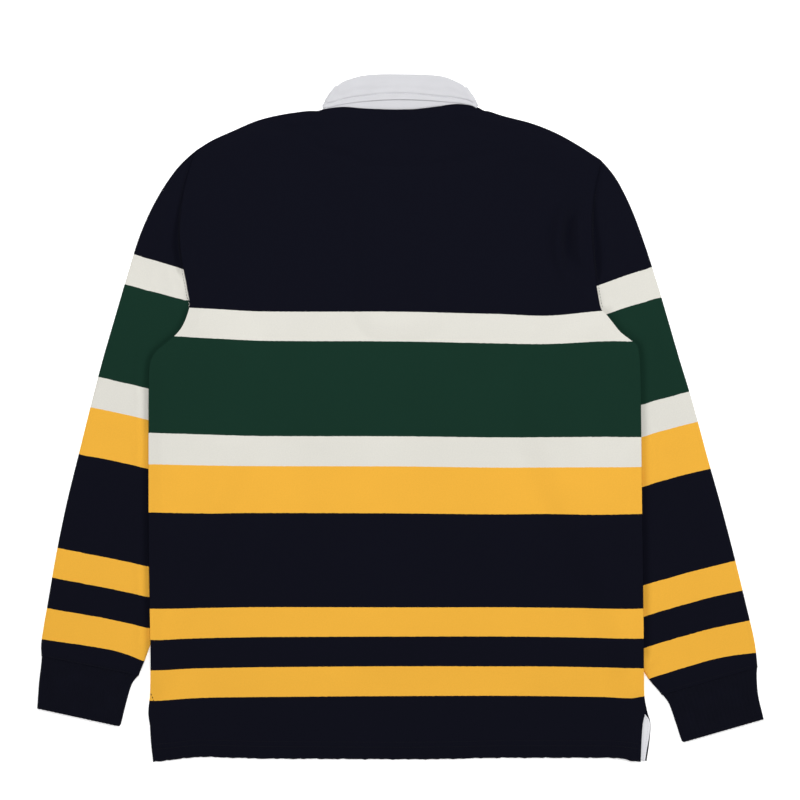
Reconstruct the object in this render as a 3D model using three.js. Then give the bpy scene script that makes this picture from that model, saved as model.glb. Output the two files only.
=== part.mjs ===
import * as THREE from 'three';

// Rugby shirt laid flat on its front, its back upwards and its sleeves turned in under the body.
// Millimetres. +X is the wearer's right-hand side, +Y points to the collar, +Z up off the surface.
// Plan tables are in squares of a drafting grid, columns to the right and rows downwards.

// Drafting grid
const SQUARE = 1.12;
const GRID_COLUMN = 399.7;
const GRID_ROW = 417.85;

// Cloth
const CLOTH = 1.4;
const SEAM_GAP = 0.3;
const LOOSE = 1.5;

// Heights off the surface
const SLEEVE_HEIGHT = 4.8;
const CUFF_HEIGHT = 4.4;
const OVER_SLEEVE = SLEEVE_HEIGHT + 0.45;
const OVER_LEAF = CLOTH + SEAM_GAP;

// Cuff ribs
const RIB_DEPTH = 0.5;
const RIBS_ROUND = 42;

// Front placket and its buttons
const PLACKET_WIDTH = 36;
const PLACKET_LENGTH = 158;
const BUTTON_RADIUS = 7;
const BUTTON_THICK = 1.2;
const BUTTON_COUNT = 3;

// Collar
const NECK_CENTRE = 400.5;
const ROLL_RADIUS = 1.15;
const SIDE_FOLD_RADIUS = 1.7;

const NAVY = 0x12131e;
const CUFF_NAVY = 0x11121b;
const WHITE = 0xdcdbdf;
const RUBBER = 0xd8d6cf;

const gridX = (column) => (column - GRID_COLUMN) * SQUARE;
const gridY = (row) => (GRID_ROW - row) * SQUARE;

function smooth(value) {
  const t = Math.min(1, Math.max(0, value));
  return t * t * (3 - 2 * t);
}

// Columns of the body panels: where each meets the shoulder or neckline, and the hem
const PANEL_COLUMNS = [
  { top: 196.0, back: 150.4, front: 150.4, hem: 153.0, hemRow: 762.0 },
  { top: 212.0, back: 140.3, front: 140.3, hem: 173.0, hemRow: 760.0 },
  { top: 234.0, back: 130.3, front: 130.3, hem: 198.0, hemRow: 757.2 },
  { top: 259.0, back: 120.6, front: 120.6, hem: 227.0, hemRow: 757.8 },
  { top: 288.0, back: 115.0, front: 115.0, hem: 261.0, hemRow: 758.8 },
  { top: 316.6, back: 110.8, front: 110.8, hem: 296.0, hemRow: 759.0 },
  { top: 321.5, back: 109.7, front: 120.5, hem: 304.0, hemRow: 759.0 },
  { top: 330.0, back: 109.3, front: 134.5, hem: 314.0, hemRow: 759.0 },
  { top: 345.0, back: 109.2, front: 151.0, hem: 332.0, hemRow: 759.2 },
  { top: 364.0, back: 109.3, front: 162.0, hem: 356.0, hemRow: 759.3 },
  { top: 386.0, back: 109.8, front: 167.0, hem: 386.0, hemRow: 759.4 },
  { top: 400.5, back: 109.9, front: 168.2, hem: 400.5, hemRow: 759.5 },
  { top: 415.0, back: 109.2, front: 167.0, hem: 415.0, hemRow: 759.5 },
  { top: 437.0, back: 106.9, front: 162.0, hem: 446.0, hemRow: 759.2 },
  { top: 456.0, back: 104.3, front: 151.0, hem: 469.0, hemRow: 758.6 },
  { top: 470.5, back: 105.6, front: 134.5, hem: 486.0, hemRow: 758.2 },
  { top: 479.5, back: 108.3, front: 120.5, hem: 497.0, hemRow: 758.0 },
  { top: 484.6, back: 110.8, front: 110.8, hem: 506.0, hemRow: 758.0 },
  { top: 505.0, back: 117.5, front: 117.5, hem: 534.0, hemRow: 758.0 },
  { top: 531.0, back: 124.0, front: 124.0, hem: 566.0, hemRow: 758.0 },
  { top: 556.0, back: 133.6, front: 133.6, hem: 596.0, hemRow: 758.0 },
  { top: 580.0, back: 146.2, front: 146.2, hem: 622.0, hemRow: 758.5 },
  { top: 601.4, back: 160.4, front: 160.4, hem: 640.6, hemRow: 761.5 },
];

// Columns of the table above between which the front opening is cut
const OPENING_COLUMNS = [10, 12];

// Side edges from the shoulder down the armhole, round the underarm and down the side seam
const SIDE_ROWS = [
  { left: 196.0, leftRow: 150.4, right: 601.4, rightRow: 160.4, vent: 601.4 },
  { left: 190.0, leftRow: 168.0, right: 596.4, rightRow: 179.0, vent: 596.4 },
  { left: 184.4, leftRow: 190.0, right: 593.0, rightRow: 198.0, vent: 593.0 },
  { left: 181.2, leftRow: 214.0, right: 591.2, rightRow: 219.0, vent: 591.2 },
  { left: 180.4, leftRow: 240.0, right: 591.6, rightRow: 243.0, vent: 591.6 },
  { left: 183.0, leftRow: 264.0, right: 593.8, rightRow: 267.0, vent: 593.8 },
  { left: 186.6, leftRow: 286.0, right: 597.0, rightRow: 290.0, vent: 597.0 },
  { left: 188.0, leftRow: 303.0, right: 601.0, rightRow: 308.0, vent: 601.0 },
  { left: 185.4, leftRow: 315.0, right: 605.6, rightRow: 318.0, vent: 605.6 },
  { left: 181.0, leftRow: 325.0, right: 611.8, rightRow: 325.4, vent: 611.8 },
  { left: 174.0, leftRow: 336.0, right: 620.6, rightRow: 333.0, vent: 620.6 },
  { left: 165.0, leftRow: 345.6, right: 630.4, rightRow: 339.4, vent: 630.4 },
  { left: 155.6, leftRow: 353.0, right: 636.6, rightRow: 345.6, vent: 636.6 },
  { left: 150.6, leftRow: 363.0, right: 639.4, rightRow: 360.0, vent: 639.4 },
  { left: 149.2, leftRow: 382.0, right: 640.2, rightRow: 382.0, vent: 640.2 },
  { left: 149.0, leftRow: 430.0, right: 640.8, rightRow: 430.0, vent: 640.8 },
  { left: 149.0, leftRow: 490.0, right: 641.4, rightRow: 490.0, vent: 641.4 },
  { left: 149.2, leftRow: 550.0, right: 642.2, rightRow: 550.0, vent: 642.2 },
  { left: 149.6, leftRow: 610.0, right: 643.0, rightRow: 610.0, vent: 643.0 },
  { left: 149.8, leftRow: 655.0, right: 643.4, rightRow: 655.0, vent: 643.4 },
  { left: 149.0, leftRow: 690.0, right: 643.8, rightRow: 690.0, vent: 643.9 },
  { left: 148.2, leftRow: 712.0, right: 645.0, rightRow: 711.0, vent: 647.4 },
  { left: 149.8, leftRow: 726.0, right: 642.6, rightRow: 724.0, vent: 650.8 },
  { left: 150.8, leftRow: 742.0, right: 641.4, rightRow: 742.0, vent: 649.6 },
  { left: 153.0, leftRow: 762.0, right: 640.6, rightRow: 761.5, vent: 646.8 },
];

// Rows of the table above that the sleeve seam takes up
const ARMHOLE_ROWS = 7;

// Flattened sleeve sections from the armhole to the cuff: outer fold and inner fold
const LEFT_SLEEVE = [
  { outer: 195.5, outerRow: 150.4, inner: 187.5, innerRow: 303.0 },
  { outer: 176.0, outerRow: 170.0, inner: 190.0, innerRow: 311.0 },
  { outer: 156.2, outerRow: 200.0, inner: 199.0, innerRow: 320.0 },
  { outer: 140.0, outerRow: 235.0, inner: 213.0, innerRow: 331.0 },
  { outer: 127.0, outerRow: 276.0, inner: 228.0, innerRow: 348.0 },
  { outer: 115.2, outerRow: 316.0, inner: 238.0, innerRow: 372.0 },
  { outer: 103.0, outerRow: 358.0, inner: 237.0, innerRow: 400.0 },
  { outer: 92.0, outerRow: 400.0, inner: 230.0, innerRow: 432.0 },
  { outer: 79.6, outerRow: 450.0, inner: 213.5, innerRow: 478.0 },
  { outer: 67.2, outerRow: 500.0, inner: 195.5, innerRow: 526.0 },
  { outer: 56.8, outerRow: 550.0, inner: 177.0, innerRow: 574.0 },
  { outer: 48.6, outerRow: 597.0, inner: 160.0, innerRow: 619.0 },
  { outer: 41.6, outerRow: 640.0, inner: 144.6, innerRow: 660.0 },
  { outer: 41.2, outerRow: 655.6, inner: 139.0, innerRow: 675.0 },
];

const RIGHT_SLEEVE = [
  { outer: 601.9, outerRow: 160.4, inner: 601.5, innerRow: 308.0 },
  { outer: 617.0, outerRow: 180.0, inner: 599.0, innerRow: 314.0 },
  { outer: 632.0, outerRow: 210.0, inner: 589.0, innerRow: 324.0 },
  { outer: 645.0, outerRow: 246.0, inner: 574.0, innerRow: 338.0 },
  { outer: 657.0, outerRow: 286.0, inner: 560.0, innerRow: 359.0 },
  { outer: 667.4, outerRow: 322.0, inner: 551.0, innerRow: 386.0 },
  { outer: 678.4, outerRow: 358.0, inner: 551.0, innerRow: 413.0 },
  { outer: 691.2, outerRow: 401.0, inner: 556.6, innerRow: 442.0 },
  { outer: 706.0, outerRow: 453.0, inner: 573.0, innerRow: 485.0 },
  { outer: 719.4, outerRow: 502.0, inner: 594.0, innerRow: 534.0 },
  { outer: 732.4, outerRow: 549.0, inner: 614.0, innerRow: 579.0 },
  { outer: 744.4, outerRow: 597.0, inner: 634.6, innerRow: 626.0 },
  { outer: 754.4, outerRow: 640.0, inner: 652.4, innerRow: 668.0 },
  { outer: 757.4, outerRow: 666.6, inner: 664.2, innerRow: 694.6 },
];

// Cuff sections from the sleeve seam to the wrist
const LEFT_CUFF = [
  { outer: 41.4, outerRow: 656.2, inner: 138.6, innerRow: 675.6 },
  { outer: 40.6, outerRow: 666.0, inner: 132.4, innerRow: 684.4 },
  { outer: 38.7, outerRow: 684.0, inner: 126.6, innerRow: 702.0 },
  { outer: 37.4, outerRow: 708.0, inner: 120.6, innerRow: 727.6 },
];

const RIGHT_CUFF = [
  { outer: 757.6, outerRow: 667.2, inner: 664.8, innerRow: 695.2 },
  { outer: 757.2, outerRow: 677.0, inner: 668.6, innerRow: 704.6 },
  { outer: 758.0, outerRow: 696.0, inner: 674.6, innerRow: 722.0 },
  { outer: 762.0, outerRow: 720.0, inner: 684.0, innerRow: 743.2 },
];

// Collar from the centre front round the back: neck seam, roll line and leaf edge, with heights
const COLLAR_FRONT = [
  { seam: 397.6, seamRow: 167.4, roll: 397.6, rollRow: 141.0, edge: 369.0, edgeRow: 194.0 },
  { seam: 376.0, seamRow: 164.2, roll: 377.0, rollRow: 138.2, edge: 350.0, edgeRow: 178.0 },
  { seam: 352.0, seamRow: 154.6, roll: 359.0, rollRow: 128.4, edge: 332.0, edgeRow: 161.0 },
  { seam: 334.6, seamRow: 138.6, roll: 346.0, rollRow: 114.6, edge: 316.0, edgeRow: 143.0 },
  { seam: 323.6, seamRow: 121.0, roll: 338.0, rollRow: 101.0, edge: 308.0, edgeRow: 125.0 },
];

const COLLAR_BACK = [
  { seam: 325.0, seamRow: 109.0, roll: 337.6, rollRow: 85.0, edge: 327.0, edgeRow: 105.8 },
  { seam: 338.0, seamRow: 108.7, roll: 349.0, rollRow: 79.2, edge: 340.0, edgeRow: 102.6 },
  { seam: 356.0, seamRow: 108.7, roll: 364.0, rollRow: 76.2, edge: 358.0, edgeRow: 100.6 },
  { seam: 378.0, seamRow: 109.0, roll: 382.0, rollRow: 75.4, edge: 379.0, edgeRow: 99.9 },
  { seam: 400.5, seamRow: 109.3, roll: 400.5, rollRow: 75.4, edge: 400.5, edgeRow: 99.7 },
  { seam: 423.0, seamRow: 107.8, roll: 419.0, rollRow: 75.6, edge: 422.0, edgeRow: 99.6 },
  { seam: 443.0, seamRow: 105.4, roll: 436.0, rollRow: 77.2, edge: 441.0, edgeRow: 99.9 },
  { seam: 460.0, seamRow: 103.6, roll: 451.0, rollRow: 80.4, edge: 457.0, edgeRow: 99.8 },
  { seam: 475.0, seamRow: 106.0, roll: 463.6, rollRow: 86.0, edge: 471.0, edgeRow: 102.6 },
];

// Side folds of the collar, where the back half turns under to the front half
const COLLAR_LEFT_FOLD = { seam: 316.8, seamRow: 108.4, roll: 333.2, rollRow: 88.6 };
const COLLAR_RIGHT_FOLD = { seam: 484.4, seamRow: 108.4, roll: 469.6, rollRow: 91.0 };
const FOLD_ANGLES = [-90, -50, 0, 50, 90];

// Soft creases of the back: a ridge from one end to the other, its half width and its rise
const BACK_CREASES = [
  { from: 262, fromRow: 131, to: 322, toRow: 125, width: 7, rise: 0.7 },
  { from: 452, fromRow: 122, to: 524, toRow: 133, width: 7, rise: 0.8 },
  { from: 568, fromRow: 212, to: 567, toRow: 268, width: 8, rise: 1.1 },
  { from: 596, fromRow: 222, to: 590, toRow: 282, width: 9, rise: -0.7 },
  { from: 196, fromRow: 205, to: 192, toRow: 268, width: 8, rise: 0.7 },
  { from: 226, fromRow: 380, to: 214, toRow: 500, width: 14, rise: 0.6 },
  { from: 572, fromRow: 400, to: 590, toRow: 520, width: 14, rise: 0.6 },
];

// Mesh helpers
function facingOut(positions, index) {
  let volume = 0;
  for (let i = 0; i < index.length; i += 3) {
    const a = positions[index[i]];
    const b = positions[index[i + 1]];
    const c = positions[index[i + 2]];
    volume += a[0] * (b[1] * c[2] - b[2] * c[1]);
    volume -= a[1] * (b[0] * c[2] - b[2] * c[0]);
    volume += a[2] * (b[0] * c[1] - b[1] * c[0]);
  }
  if (volume >= 0) {
    return index;
  }
  const turned = [];
  for (let i = 0; i < index.length; i += 3) {
    turned.push(index[i], index[i + 2], index[i + 1]);
  }
  return turned;
}

function solid(positions, index) {
  const geometry = new THREE.BufferGeometry();
  geometry.setAttribute('position', new THREE.Float32BufferAttribute(positions.flat(), 3));
  geometry.setIndex(facingOut(positions, index));
  geometry.computeVertexNormals();
  return geometry;
}

// A wall between two equal grids of points; cells that the mask leaves out are open
function wall(outer, inner, present = () => true) {
  const rows = outer.length;
  const columns = outer[0].length;
  const positions = [...outer.flat(), ...inner.flat()];
  const half = rows * columns;
  const at = (row, column) => row * columns + column;
  const has = (row, column) => row >= 0 && column >= 0 && row < rows - 1
    && column < columns - 1 && present(row, column);
  const index = [];
  const quad = (a, b, c, d) => index.push(a, b, c, a, c, d);
  for (let row = 0; row < rows - 1; row += 1) {
    for (let column = 0; column < columns - 1; column += 1) {
      if (!has(row, column)) {
        continue;
      }
      const a = at(row, column);
      const b = at(row, column + 1);
      const c = at(row + 1, column + 1);
      const d = at(row + 1, column);
      quad(a, b, c, d);
      quad(half + a, half + d, half + c, half + b);
      if (!has(row - 1, column)) {
        quad(b, a, half + a, half + b);
      }
      if (!has(row + 1, column)) {
        quad(d, c, half + c, half + d);
      }
      if (!has(row, column - 1)) {
        quad(a, d, half + d, half + a);
      }
      if (!has(row, column + 1)) {
        quad(c, b, half + b, half + c);
      }
    }
  }
  const used = new Map();
  const kept = [];
  const renumbered = index.map((old) => {
    if (!used.has(old)) {
      used.set(old, kept.length);
      kept.push(positions[old]);
    }
    return used.get(old);
  });
  return solid(kept, renumbered);
}

// A tube wall from rings of outer and inner points, open at both ends
function tube(outer, inner) {
  const rings = outer.length;
  const round = outer[0].length;
  const positions = [...outer.flat(), ...inner.flat()];
  const half = rings * round;
  const at = (ring, step) => ring * round + (step % round);
  const index = [];
  const quad = (a, b, c, d) => index.push(a, b, c, a, c, d);
  for (let ring = 0; ring < rings - 1; ring += 1) {
    for (let step = 0; step < round; step += 1) {
      const a = at(ring, step);
      const b = at(ring, step + 1);
      const c = at(ring + 1, step + 1);
      const d = at(ring + 1, step);
      quad(a, b, c, d);
      quad(half + a, half + d, half + c, half + b);
    }
  }
  const last = rings - 1;
  for (let step = 0; step < round; step += 1) {
    quad(at(0, step + 1), at(0, step), half + at(0, step), half + at(0, step + 1));
    quad(at(last, step), at(last, step + 1), half + at(last, step + 1), half + at(last, step));
  }
  return solid(positions, index);
}

// Smooth values between table rows, the position counted in rows
function between(table, key, position) {
  const last = table.length - 1;
  const low = Math.min(last - 1, Math.max(0, Math.floor(position)));
  const t = position - low;
  const p1 = table[low][key];
  const p2 = table[low + 1][key];
  const p0 = low > 0 ? table[low - 1][key] : 2 * p1 - p2;
  const p3 = low + 2 <= last ? table[low + 2][key] : 2 * p2 - p1;
  const bend = (2 * p0 - 5 * p1 + 4 * p2 - p3) * t * t + (3 * (p1 - p2) + p3 - p0) * t * t * t;
  return p1 + 0.5 * ((p2 - p0) * t + bend);
}

// Distance from a point to a chain of points, and whether a closed chain holds the point
function distanceTo(chain, x, y, closed) {
  let best = Infinity;
  const count = closed ? chain.length : chain.length - 1;
  for (let i = 0; i < count; i += 1) {
    const [ax, ay] = chain[i];
    const [bx, by] = chain[(i + 1) % chain.length];
    const dx = bx - ax;
    const dy = by - ay;
    const t = Math.min(1, Math.max(0, ((x - ax) * dx + (y - ay) * dy) / (dx * dx + dy * dy)));
    best = Math.min(best, Math.hypot(x - ax - t * dx, y - ay - t * dy));
  }
  return best;
}

function holds(chain, x, y) {
  let inside = false;
  for (let i = 0, j = chain.length - 1; i < chain.length; j = i, i += 1) {
    const [ax, ay] = chain[i];
    const [bx, by] = chain[j];
    if ((ay > y) !== (by > y) && x < ((bx - ax) * (y - ay)) / (by - ay) + ax) {
      inside = !inside;
    }
  }
  return inside;
}

// 1 inside a patch and up to its margin, falling softly to 0 over the ramp outside it
function patch(chain, x, y, margin, ramp) {
  if (holds(chain, x, y)) {
    return 1;
  }
  return 1 - smooth((distanceTo(chain, x, y, true) - margin) / ramp);
}

// Patches of the body that lie on something, in grid squares
const underarmToSide = (key, rowKey) => SIDE_ROWS.slice(7, 20).map((row) => [row[key], row[rowKey]]);
const innerFold = (sleeve) => sleeve.slice(0, 13).map((row) => [row.inner, row.innerRow]);
const LEFT_HIDDEN = [...innerFold(LEFT_SLEEVE), ...underarmToSide('left', 'leftRow').reverse()];
const RIGHT_HIDDEN = [...innerFold(RIGHT_SLEEVE), ...underarmToSide('right', 'rightRow').reverse()];

const mirrored = (row) => ({
  seam: 2 * NECK_CENTRE - row.seam,
  seamRow: row.seamRow,
  roll: 2 * NECK_CENTRE - row.roll,
  rollRow: row.rollRow,
  edge: 2 * NECK_CENTRE - row.edge,
  edgeRow: row.edgeRow,
});
const COLLAR_FRONT_RIGHT = [...COLLAR_FRONT].reverse().map(mirrored);
const LEAF_PATCH = [
  ...COLLAR_FRONT.map((row) => [row.edge, row.edgeRow]),
  [312, 112],
  [489, 112],
  ...COLLAR_FRONT_RIGHT.map((row) => [row.edge, row.edgeRow]),
];
const NECK_HOLE = [
  ...COLLAR_FRONT.map((row) => [row.roll, row.rollRow]),
  [337, 92],
  [465, 92],
  ...COLLAR_FRONT_RIGHT.map((row) => [row.roll, row.rollRow]),
];
const PLACKET_TOP = 169;
const PLACKET_FOOT = PLACKET_TOP + PLACKET_LENGTH / SQUARE;
const PLACKET_HALF = PLACKET_WIDTH / 2 / SQUARE;
const PLACKET_PATCH = [
  [NECK_CENTRE - PLACKET_HALF, PLACKET_TOP],
  [NECK_CENTRE + PLACKET_HALF, PLACKET_TOP],
  [NECK_CENTRE + PLACKET_HALF, PLACKET_FOOT],
  [NECK_CENTRE - PLACKET_HALF, PLACKET_FOOT],
];

// Height of the front panel's underside
function frontLift(column, row) {
  const overLeft = patch(LEFT_HIDDEN, column, row, 23, 30);
  const overRight = patch(RIGHT_HIDDEN, column, row, 23, 30);
  const overLeaf = patch(LEAF_PATCH, column, row, 14, 20);
  const overPlacket = patch(PLACKET_PATCH, column, row, 12, 24);
  return Math.max(OVER_SLEEVE * Math.max(overLeft, overRight), OVER_LEAF * Math.max(overLeaf, overPlacket));
}

// Height of the back neck seam above the surface, lowest behind the neck
function backNeckHeight(column) {
  return 1.7 + 3.4 * smooth(Math.abs(column - NECK_CENTRE) / 78);
}

function creaseRise(column, row) {
  let rise = 0;
  for (const crease of BACK_CREASES) {
    const line = [[crease.from, crease.fromRow], [crease.to, crease.toRow]];
    const away = distanceTo(line, column, row, false) / crease.width;
    rise += crease.rise * Math.exp(-away * away);
  }
  return rise;
}

// Height of the back panel's underside, edge being 0 at a seam and 1 away from it
function backLift(column, row, edge) {
  const underPlacket = (2 * CLOTH + 2 * SEAM_GAP + CLOTH) * patch(PLACKET_PATCH, column, row, 12, 30);
  const front = Math.max(frontLift(column, row) + CLOTH, underPlacket);
  const sunk = holds(NECK_HOLE, column, row)
    ? smooth(distanceTo(NECK_HOLE.slice(0, 5).concat(NECK_HOLE.slice(7)), column, row, false) / 26)
    : 0;
  const overTape = (CLOTH + SEAM_GAP + 0.3) * smooth((column - 604) / 22) * smooth((row - 676) / 22);
  const support = front + (backNeckHeight(column) - SEAM_GAP - front) * sunk;
  return support + SEAM_GAP + overTape + edge * (LOOSE * (1 - sunk) + creaseRise(column, row));
}

// Plan position of a body panel at a place in the two tables, both counted in rows
function panelPlan(across, down, topKey, sideKey) {
  const last = SIDE_ROWS.length - 1;
  const side = (key, position) => between(SIDE_ROWS, key, position);
  const fallLeft = (side('leftRow', down) - side('leftRow', 0)) / (side('leftRow', last) - side('leftRow', 0));
  const fallRight = (side('rightRow', down) - side('rightRow', 0))
    / (side('rightRow', last) - side('rightRow', 0));
  const weight = across / (PANEL_COLUMNS.length - 1);
  const fall = fallLeft + (fallRight - fallLeft) * weight;
  const corner = between(PANEL_COLUMNS, topKey, across);
  const hemColumn = between(PANEL_COLUMNS, 'hem', across);
  const topColumn = between(PANEL_COLUMNS, 'top', across);
  const hemRow = between(PANEL_COLUMNS, 'hemRow', across);
  const leftOff = side('left', down) - (side('left', 0) + fall * (side('left', last) - side('left', 0)));
  const rightEnd = PANEL_COLUMNS[PANEL_COLUMNS.length - 1].hem;
  const rightOff = side(sideKey, down) - (side(sideKey, 0) + fall * (rightEnd - side(sideKey, 0)));
  const nearLeft = (1 - weight) ** 3;
  const nearRight = weight ** 3;
  return [
    topColumn + fall * (hemColumn - topColumn) + leftOff * nearLeft + rightOff * nearRight,
    corner + fall * (hemRow - corner),
  ];
}

// Stations of the panel grids, counted in table rows
const ACROSS = PANEL_COLUMNS.map((_, i) => i);
const DOWN = [0, 0.5, 1, 1.5, 2, 3, 4, 5, 6, 7, 8, 9, 10, 11, 12, 13, 14, 15, 16, 17, 18, 19, 20, 21, 22, 23, 24];
const OPENING_FOOT = 7;

function panelGrids(topKey, sideKey, lift) {
  const under = [];
  const over = [];
  for (const down of DOWN) {
    const underRow = [];
    const overRow = [];
    for (const across of ACROSS) {
      const [column, row] = panelPlan(across, down, topKey, sideKey);
      const onSide = across === 0 || across === ACROSS.length - 1 || down === SIDE_ROWS.length - 1;
      const onShoulder = down === 0 && (across <= 5 || across >= 17);
      const height = lift(column, row, onSide || onShoulder ? 0 : 1);
      underRow.push([gridX(column), gridY(row), height]);
      overRow.push([gridX(column), gridY(row), height + CLOTH]);
    }
    under.push(underRow);
    over.push(overRow);
  }
  return [over, under];
}

// One flattened ring in the plane of a section: rounded folds at both ends, flat between
function ringStations(width) {
  const stations = [];
  const arc = (side) => {
    for (const turn of [-90, -30, 30, 90]) {
      stations.push({ side, turn: side === 'outer' ? turn : -turn });
    }
  };
  arc('outer');
  for (let i = 1; i < ARMHOLE_ROWS; i += 1) {
    stations.push({ side: 'top', along: (width * i) / ARMHOLE_ROWS });
  }
  arc('inner');
  for (let i = 1; i < ARMHOLE_ROWS; i += 1) {
    stations.push({ side: 'foot', along: width - (width * i) / ARMHOLE_ROWS });
  }
  return stations;
}

function ringPoint(station, width, height, inset) {
  const radius = height / 2;
  if (station.side === 'top') {
    return [station.along, height - inset];
  }
  if (station.side === 'foot') {
    return [station.along, inset];
  }
  const turn = (station.turn * Math.PI) / 180;
  const reach = radius - (radius - inset) * Math.cos(turn);
  const rise = radius + (radius - inset) * Math.sin(turn);
  return [station.side === 'outer' ? reach : width - reach, rise];
}

// Point of a section at a distance from its outer fold, bowed beside the armhole as that is
function sectionPoint(table, position, along, width, armhole) {
  const t = along / width;
  const outer = between(table, 'outer', position);
  const inner = between(table, 'inner', position);
  const outerRow = between(table, 'outerRow', position);
  const innerRow = between(table, 'innerRow', position);
  const fade = armhole ? Math.max(0, 1 - position / 4) : 0;
  const bend = (key) => {
    const from = between(SIDE_ROWS, key, 0);
    const to = between(SIDE_ROWS, key, ARMHOLE_ROWS);
    return between(SIDE_ROWS, key, t * ARMHOLE_ROWS) - from - (to - from) * t;
  };
  const bow = fade ? fade * bend(armhole) : 0;
  const bowRow = fade ? fade * bend(`${armhole}Row`) : 0;
  return [gridX(outer + (inner - outer) * t + bow), gridY(outerRow + (innerRow - outerRow) * t + bowRow)];
}

function sectionWidth(table, position) {
  const across = between(table, 'inner', position) - between(table, 'outer', position);
  const down = between(table, 'innerRow', position) - between(table, 'outerRow', position);
  return Math.hypot(across, down) * SQUARE;
}

// Positions along the sleeve table, closer together over the sleeve head
const SLEEVE_STATIONS = [0, 0.5, 1, 1.5, 2, 2.5, 3, 3.5, 4, 4.5, 5, 6, 7, 8, 9, 10, 11, 12, 12.5, 13];

function sleeve(table, armhole) {
  const outer = [];
  const inner = [];
  for (const position of SLEEVE_STATIONS) {
    const width = sectionWidth(table, position);
    const stations = ringStations(width);
    const place = (station, inset) => {
      const [along, height] = ringPoint(station, width, SLEEVE_HEIGHT, inset);
      return [...sectionPoint(table, position, along, width, armhole), height];
    };
    outer.push(stations.map((station) => place(station, 0)));
    inner.push(stations.map((station) => place(station, CLOTH)));
  }
  return tube(outer, inner);
}

// Station on a flattened ring at a share of the way round it
function roundStation(share, width, height) {
  const straight = width - height;
  const bend = (Math.PI * height) / 2;
  const length = share * 2 * (straight + bend);
  if (length < straight) {
    return { side: 'top', along: height / 2 + length };
  }
  if (length < straight + bend) {
    return { side: 'inner', turn: 90 - (180 * (length - straight)) / bend };
  }
  if (length < 2 * straight + bend) {
    return { side: 'foot', along: width - height / 2 - (length - straight - bend) };
  }
  return { side: 'outer', turn: -90 + (180 * (length - 2 * straight - bend)) / bend };
}

function cuff(table) {
  const outer = [];
  const inner = [];
  for (let position = 0; position < table.length; position += 1) {
    const width = sectionWidth(table, position);
    const outerRing = [];
    const innerRing = [];
    for (let step = 0; step < 2 * RIBS_ROUND; step += 1) {
      const station = roundStation((step + 0.5) / (2 * RIBS_ROUND), width, CUFF_HEIGHT);
      const valley = step % 2 === 0 ? 0 : RIB_DEPTH;
      const [along, height] = ringPoint(station, width, CUFF_HEIGHT, valley);
      const [plainAlong, plainHeight] = ringPoint(station, width, CUFF_HEIGHT, CLOTH);
      outerRing.push([...sectionPoint(table, position, along, width), height]);
      innerRing.push([...sectionPoint(table, position, plainAlong, width), plainHeight]);
    }
    outer.push(outerRing);
    inner.push(innerRing);
  }
  return tube(outer, inner);
}

// Stations round the collar, each a seam point, a roll point and a leaf edge point
const FRONT_SEAM_HEIGHT = OVER_LEAF + CLOTH / 2;
const FRONT_ROLL_HEIGHT = CLOTH / 2 + 2 * ROLL_RADIUS;
const LEAF_ON_FLOOR = CLOTH / 2;
const vector = (column, row, height) => new THREE.Vector3(gridX(column), gridY(row), height);

function frontStation(row) {
  return {
    seam: vector(row.seam, row.seamRow, FRONT_SEAM_HEIGHT),
    roll: vector(row.roll, row.rollRow, FRONT_ROLL_HEIGHT),
    edge: vector(row.edge, row.edgeRow, LEAF_ON_FLOOR),
    away: new THREE.Vector3(0, 0, -1),
  };
}

function backStation(row) {
  const seamHeight = backNeckHeight(row.seam) + CLOTH / 2;
  const rollHeight = seamHeight + 0.6;
  const share = (row.seamRow - row.edgeRow) / (row.seamRow - row.rollRow);
  const edgeHeight = seamHeight + 0.6 * share + CLOTH + SEAM_GAP;
  return {
    seam: vector(row.seam, row.seamRow, seamHeight),
    roll: vector(row.roll, row.rollRow, rollHeight),
    edge: vector(row.edge, row.edgeRow, edgeHeight),
    away: new THREE.Vector3(0, 0, 1),
  };
}

function foldStations(fold, towards) {
  const along = new THREE.Vector3(fold.roll - fold.seam, fold.seamRow - fold.rollRow, 0).normalize();
  const inward = new THREE.Vector3(along.y * towards, -along.x * towards, 0);
  return FOLD_ANGLES.map((angle) => {
    const turn = (angle * Math.PI) / 180;
    const away = inward.clone().multiplyScalar(-Math.cos(turn));
    away.z = Math.sin(turn);
    const seamMiddle = FRONT_SEAM_HEIGHT + SIDE_FOLD_RADIUS;
    const rollMiddle = FRONT_ROLL_HEIGHT + SIDE_FOLD_RADIUS;
    const onFold = (column, row, middle) => vector(column, row, middle)
      .addScaledVector(inward, SIDE_FOLD_RADIUS)
      .addScaledVector(away, SIDE_FOLD_RADIUS);
    const seam = onFold(fold.seam, fold.seamRow, seamMiddle);
    const roll = onFold(fold.roll, fold.rollRow, rollMiddle);
    const edge = seam.clone().addScaledVector(away, CLOTH + SEAM_GAP).addScaledVector(along, 1.2);
    edge.z = Math.max(edge.z, LEAF_ON_FLOOR);
    return { seam, roll, edge, away };
  });
}

const COLLAR_STATIONS = [
  ...COLLAR_FRONT.map(frontStation),
  ...foldStations(COLLAR_LEFT_FOLD, 1),
  ...COLLAR_BACK.map(backStation),
  ...foldStations(COLLAR_RIGHT_FOLD, -1).reverse(),
  ...COLLAR_FRONT_RIGHT.map(frontStation),
];

// Positions round the collar, doubled where the stations lie far apart
function collarPositions() {
  const positions = [];
  for (let i = 0; i < COLLAR_STATIONS.length; i += 1) {
    positions.push(i);
    const next = COLLAR_STATIONS[i + 1];
    if (next && COLLAR_STATIONS[i].roll.distanceTo(next.roll) > 16) {
      positions.push(i + 0.5);
    }
  }
  return positions;
}

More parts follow.
